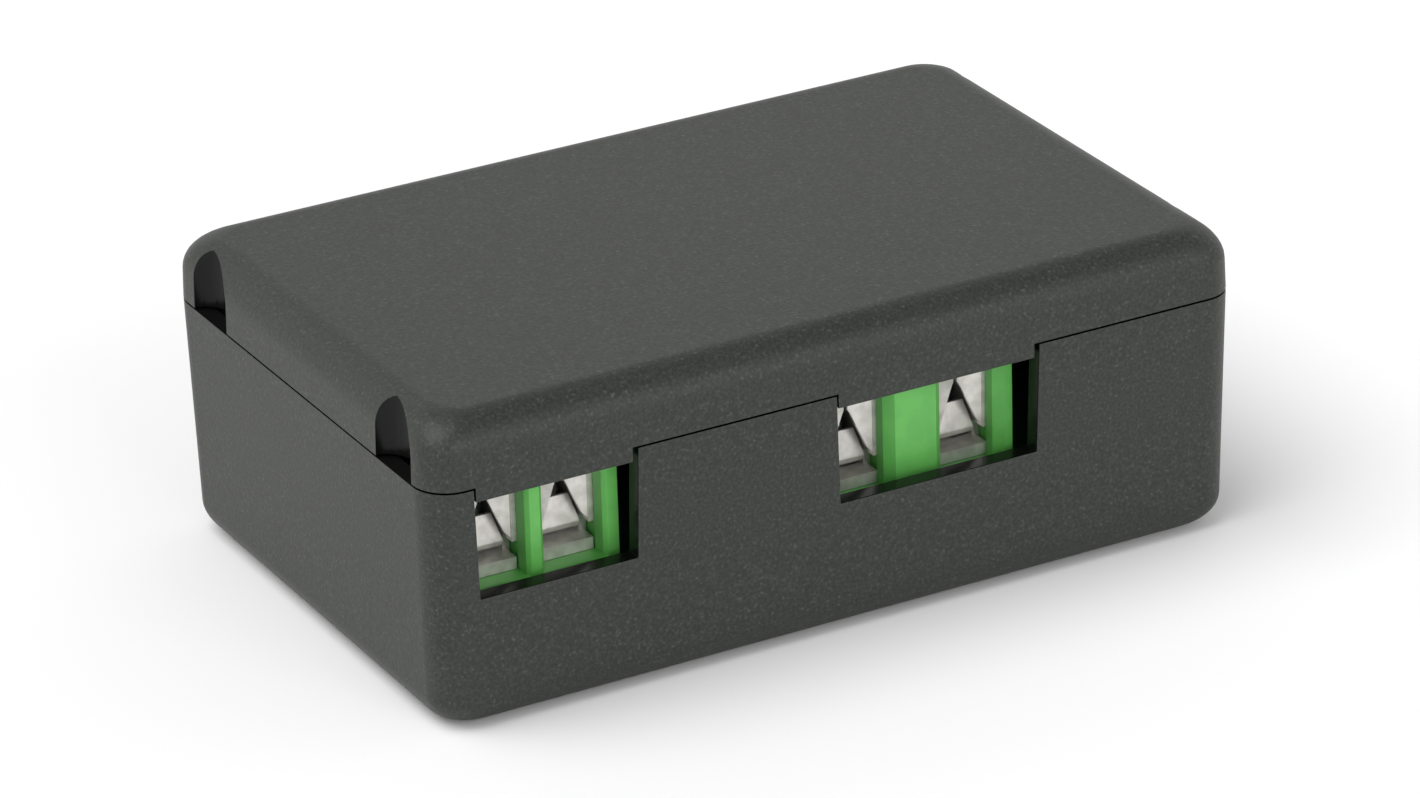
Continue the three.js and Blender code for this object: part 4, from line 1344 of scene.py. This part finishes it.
# %% [markdown]
# ## The suppressor diode
# The diode is a moulded cylinder with a pale band at one end, which marks its
# direction. The band could be painted with a texture. A ring that stands a hundredth
# of a millimetre proud keeps its edge sharp from close by.

# %% Suppressor diode
DIODE_LENGTH = 9.0 * MM
DIODE_EDGE = 0.5 * MM
BAND_PLACE = 2.9 * MM
BAND_LENGTH = 1.1 * MM
BAND_RISE = 0.01 * MM


def diode(node):
    low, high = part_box(node)
    spot = centre_of(node)
    radius = (high.y - low.y) / 2
    centre = Vector((spot.x, spot.y, high.z - radius))
    body = lying_rod(centre, DIODE_LENGTH, radius, 48)
    soften(body, DIODE_EDGE, 4)
    body.data.materials.append(diode_black)
    band = lying_rod(centre + Vector((BAND_PLACE, 0, 0)), BAND_LENGTH, radius + BAND_RISE, 48)
    band.data.materials.append(diode_band)
    leads = [bent_lead(x, y, centre.z, 1 if x < spot.x else -1) for x, y in lead_spots(node)]
    for lead in leads:
        lead.data.materials.append(tin_plate)
    gather(body, band, *leads)
    return smooth(body)


hand_over(diode("suppressor_diode"), "suppressor diode body", "base", "suppressor_diode")


# %% [markdown]
# ## The board screws
# Four pan-head screws with a cross recess hold the board on its bosses. The head could
# be half a ball, but a real one is flatter: a short cylinder with a wide rounding on
# its top edge. Two crossed blocks cut the recess.

# %% Board screws
PAN_HEIGHT = 1.3 * MM
PAN_ROUNDING = 0.6 * MM
CROSS_ARM = 1.2 * MM
CROSS_WEB = 0.3 * MM
CROSS_DEPTH = 0.7 * MM
BOARD_SCREW_SHANK = 1.0 * MM
BOARD_SCREW_POINT = 1.0 * MM
POINT_SHARPNESS = 0.05


def board_screw(node):
    low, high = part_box(node)
    spot = centre_of(node)
    radius = (high.x - low.x) / 2
    screw = rod(spot.x, spot.y, high.z - PAN_HEIGHT, high.z, radius, 48)
    edit(screw, "EDGE")
    pick_edges(lambda a, b: min(a.z, b.z) > high.z - NEAR)
    bpy.ops.mesh.bevel(offset=PAN_ROUNDING, segments=5, affect="EDGES")
    leave()
    for reach in (Vector((CROSS_ARM, CROSS_WEB, 0)), Vector((CROSS_WEB, CROSS_ARM, 0))):
        cut(screw, block((spot.x - reach.x, spot.y - reach.y, high.z - CROSS_DEPTH),
                         (spot.x + reach.x, spot.y + reach.y, high.z + MM)))
    shank_foot = low.z + BOARD_SCREW_POINT
    shank = rod(spot.x, spot.y, shank_foot, high.z - PAN_HEIGHT / 2, BOARD_SCREW_SHANK, 24)
    edit(shank, "FACE")
    pick_faces(lambda centre, normal: normal.z < -FACING)
    extrude_faces((0, 0, -BOARD_SCREW_POINT))
    resize_ring(POINT_SHARPNESS, spot.x, spot.y, low.z)
    leave()
    gather(screw, shank)
    screw.data.materials.clear()
    screw.data.materials.append(zinc_plate)
    return smooth(screw)


for node in BOARD_SCREWS:
    hand_over(board_screw(node), node.replace("_", " "), "base", node)

# %% [markdown]
# ## The floor
# The module stands on a pale floor. A plane of a few metres reads as endless from
# close by, where a curved backdrop would show its bend in some of the views.

# %% Floor
FLOOR_SIZE = 6.0
deselect()
bpy.ops.mesh.primitive_plane_add(size=FLOOR_SIZE, location=(0, 0, 0))
floor = bpy.context.object
floor.name = "floor"
floor.data.materials.append(finish("pale floor", (0.92, 0.92, 0.92), 0.9))

# %% [markdown]
# ## The surroundings
# Dark plastic shows mostly what it mirrors. A plain grey world would make it flat. So
# the horizon is bright, as a studio's walls are, which makes the flat faces grey, and
# the dim ceiling leaves a dark band on the rounded front edge of the top.

# %% World
HORIZON = (1.0, 1.0, 1.0, 1)
HORIZON_END = 0.5
CEILING_SHADE = (0.28, 0.28, 0.28, 1)
CEILING_START = 0.75
world = bpy.data.worlds.new("studio")
world.use_nodes = True
background = world.node_tree.nodes["Background"]
direction = world.node_tree.nodes.new("ShaderNodeTexCoord")
parts = world.node_tree.nodes.new("ShaderNodeSeparateXYZ")
shade = world.node_tree.nodes.new("ShaderNodeValToRGB")
shade.color_ramp.elements[0].position = HORIZON_END
shade.color_ramp.elements[0].color = HORIZON
shade.color_ramp.elements[1].position = CEILING_START
shade.color_ramp.elements[1].color = CEILING_SHADE
world.node_tree.links.new(direction.outputs["Generated"], parts.inputs["Vector"])
world.node_tree.links.new(parts.outputs["Z"], shade.inputs["Fac"])
world.node_tree.links.new(shade.outputs["Color"], background.inputs["Color"])
bpy.context.scene.world = world
bpy.context.scene.view_settings.view_transform = "Standard"

# %% [markdown]
# ## The lamps
# A large soft lamp stands high on the left, and a weaker one in front. Area lamps
# would fall off with distance and brighten one end of the case. A sun lamp with a wide
# angle is as soft and lights the whole module evenly.

# %% Lamps
def softbox(name, place, strength, spread):
    data = bpy.data.lights.new(name, "SUN")
    data.energy = strength
    data.angle = math.radians(spread)
    lamp = bpy.data.objects.new(name, data)
    bpy.context.collection.objects.link(lamp)
    lamp.location = place
    lamp.rotation_euler = (-Vector(place)).to_track_quat("-Z", "Y").to_euler()
    print(name, "strength:", strength, "spread in degrees:", spread)


softbox("main softbox", place=(-0.45, 0.05, 0.89), strength=1.9, spread=50)
softbox("front softbox", place=(0.15, -0.9, 0.4), strength=0.6, spread=30)

# %% [markdown]
# ## The camera
# The camera looks down on the front left corner from more than seven case lengths
# away, so the case narrows only a little towards the back. It could track an empty
# object, but a place worked out from two angles and a distance needs nothing else in
# the scene.

# %% Camera
CAMERA_DISTANCE = 414.1 * MM
CAMERA_AZIMUTH = math.radians(-28.125)
CAMERA_ELEVATION = math.radians(24.717)
CAMERA_ROLL = math.radians(-1.782)
CAMERA_AIM = Vector((-0.012, -0.547, 8.64)) * MM
CAMERA_LENS = 170.98

backwards = Vector((
    math.sin(CAMERA_AZIMUTH) * math.cos(CAMERA_ELEVATION),
    -math.cos(CAMERA_AZIMUTH) * math.cos(CAMERA_ELEVATION),
    math.sin(CAMERA_ELEVATION)))
camera_data = bpy.data.cameras.new("camera")
camera_data.lens = CAMERA_LENS
camera = bpy.data.objects.new("camera", camera_data)
bpy.context.collection.objects.link(camera)
camera.location = CAMERA_AIM + backwards * CAMERA_DISTANCE
turn = backwards.to_track_quat("Z", "Y")
camera.rotation_euler = turn.to_euler()
camera.rotation_euler.rotate_axis("Z", CAMERA_ROLL)
bpy.context.scene.camera = camera
print("camera at mm:", [round(value / MM, 1) for value in camera.location])
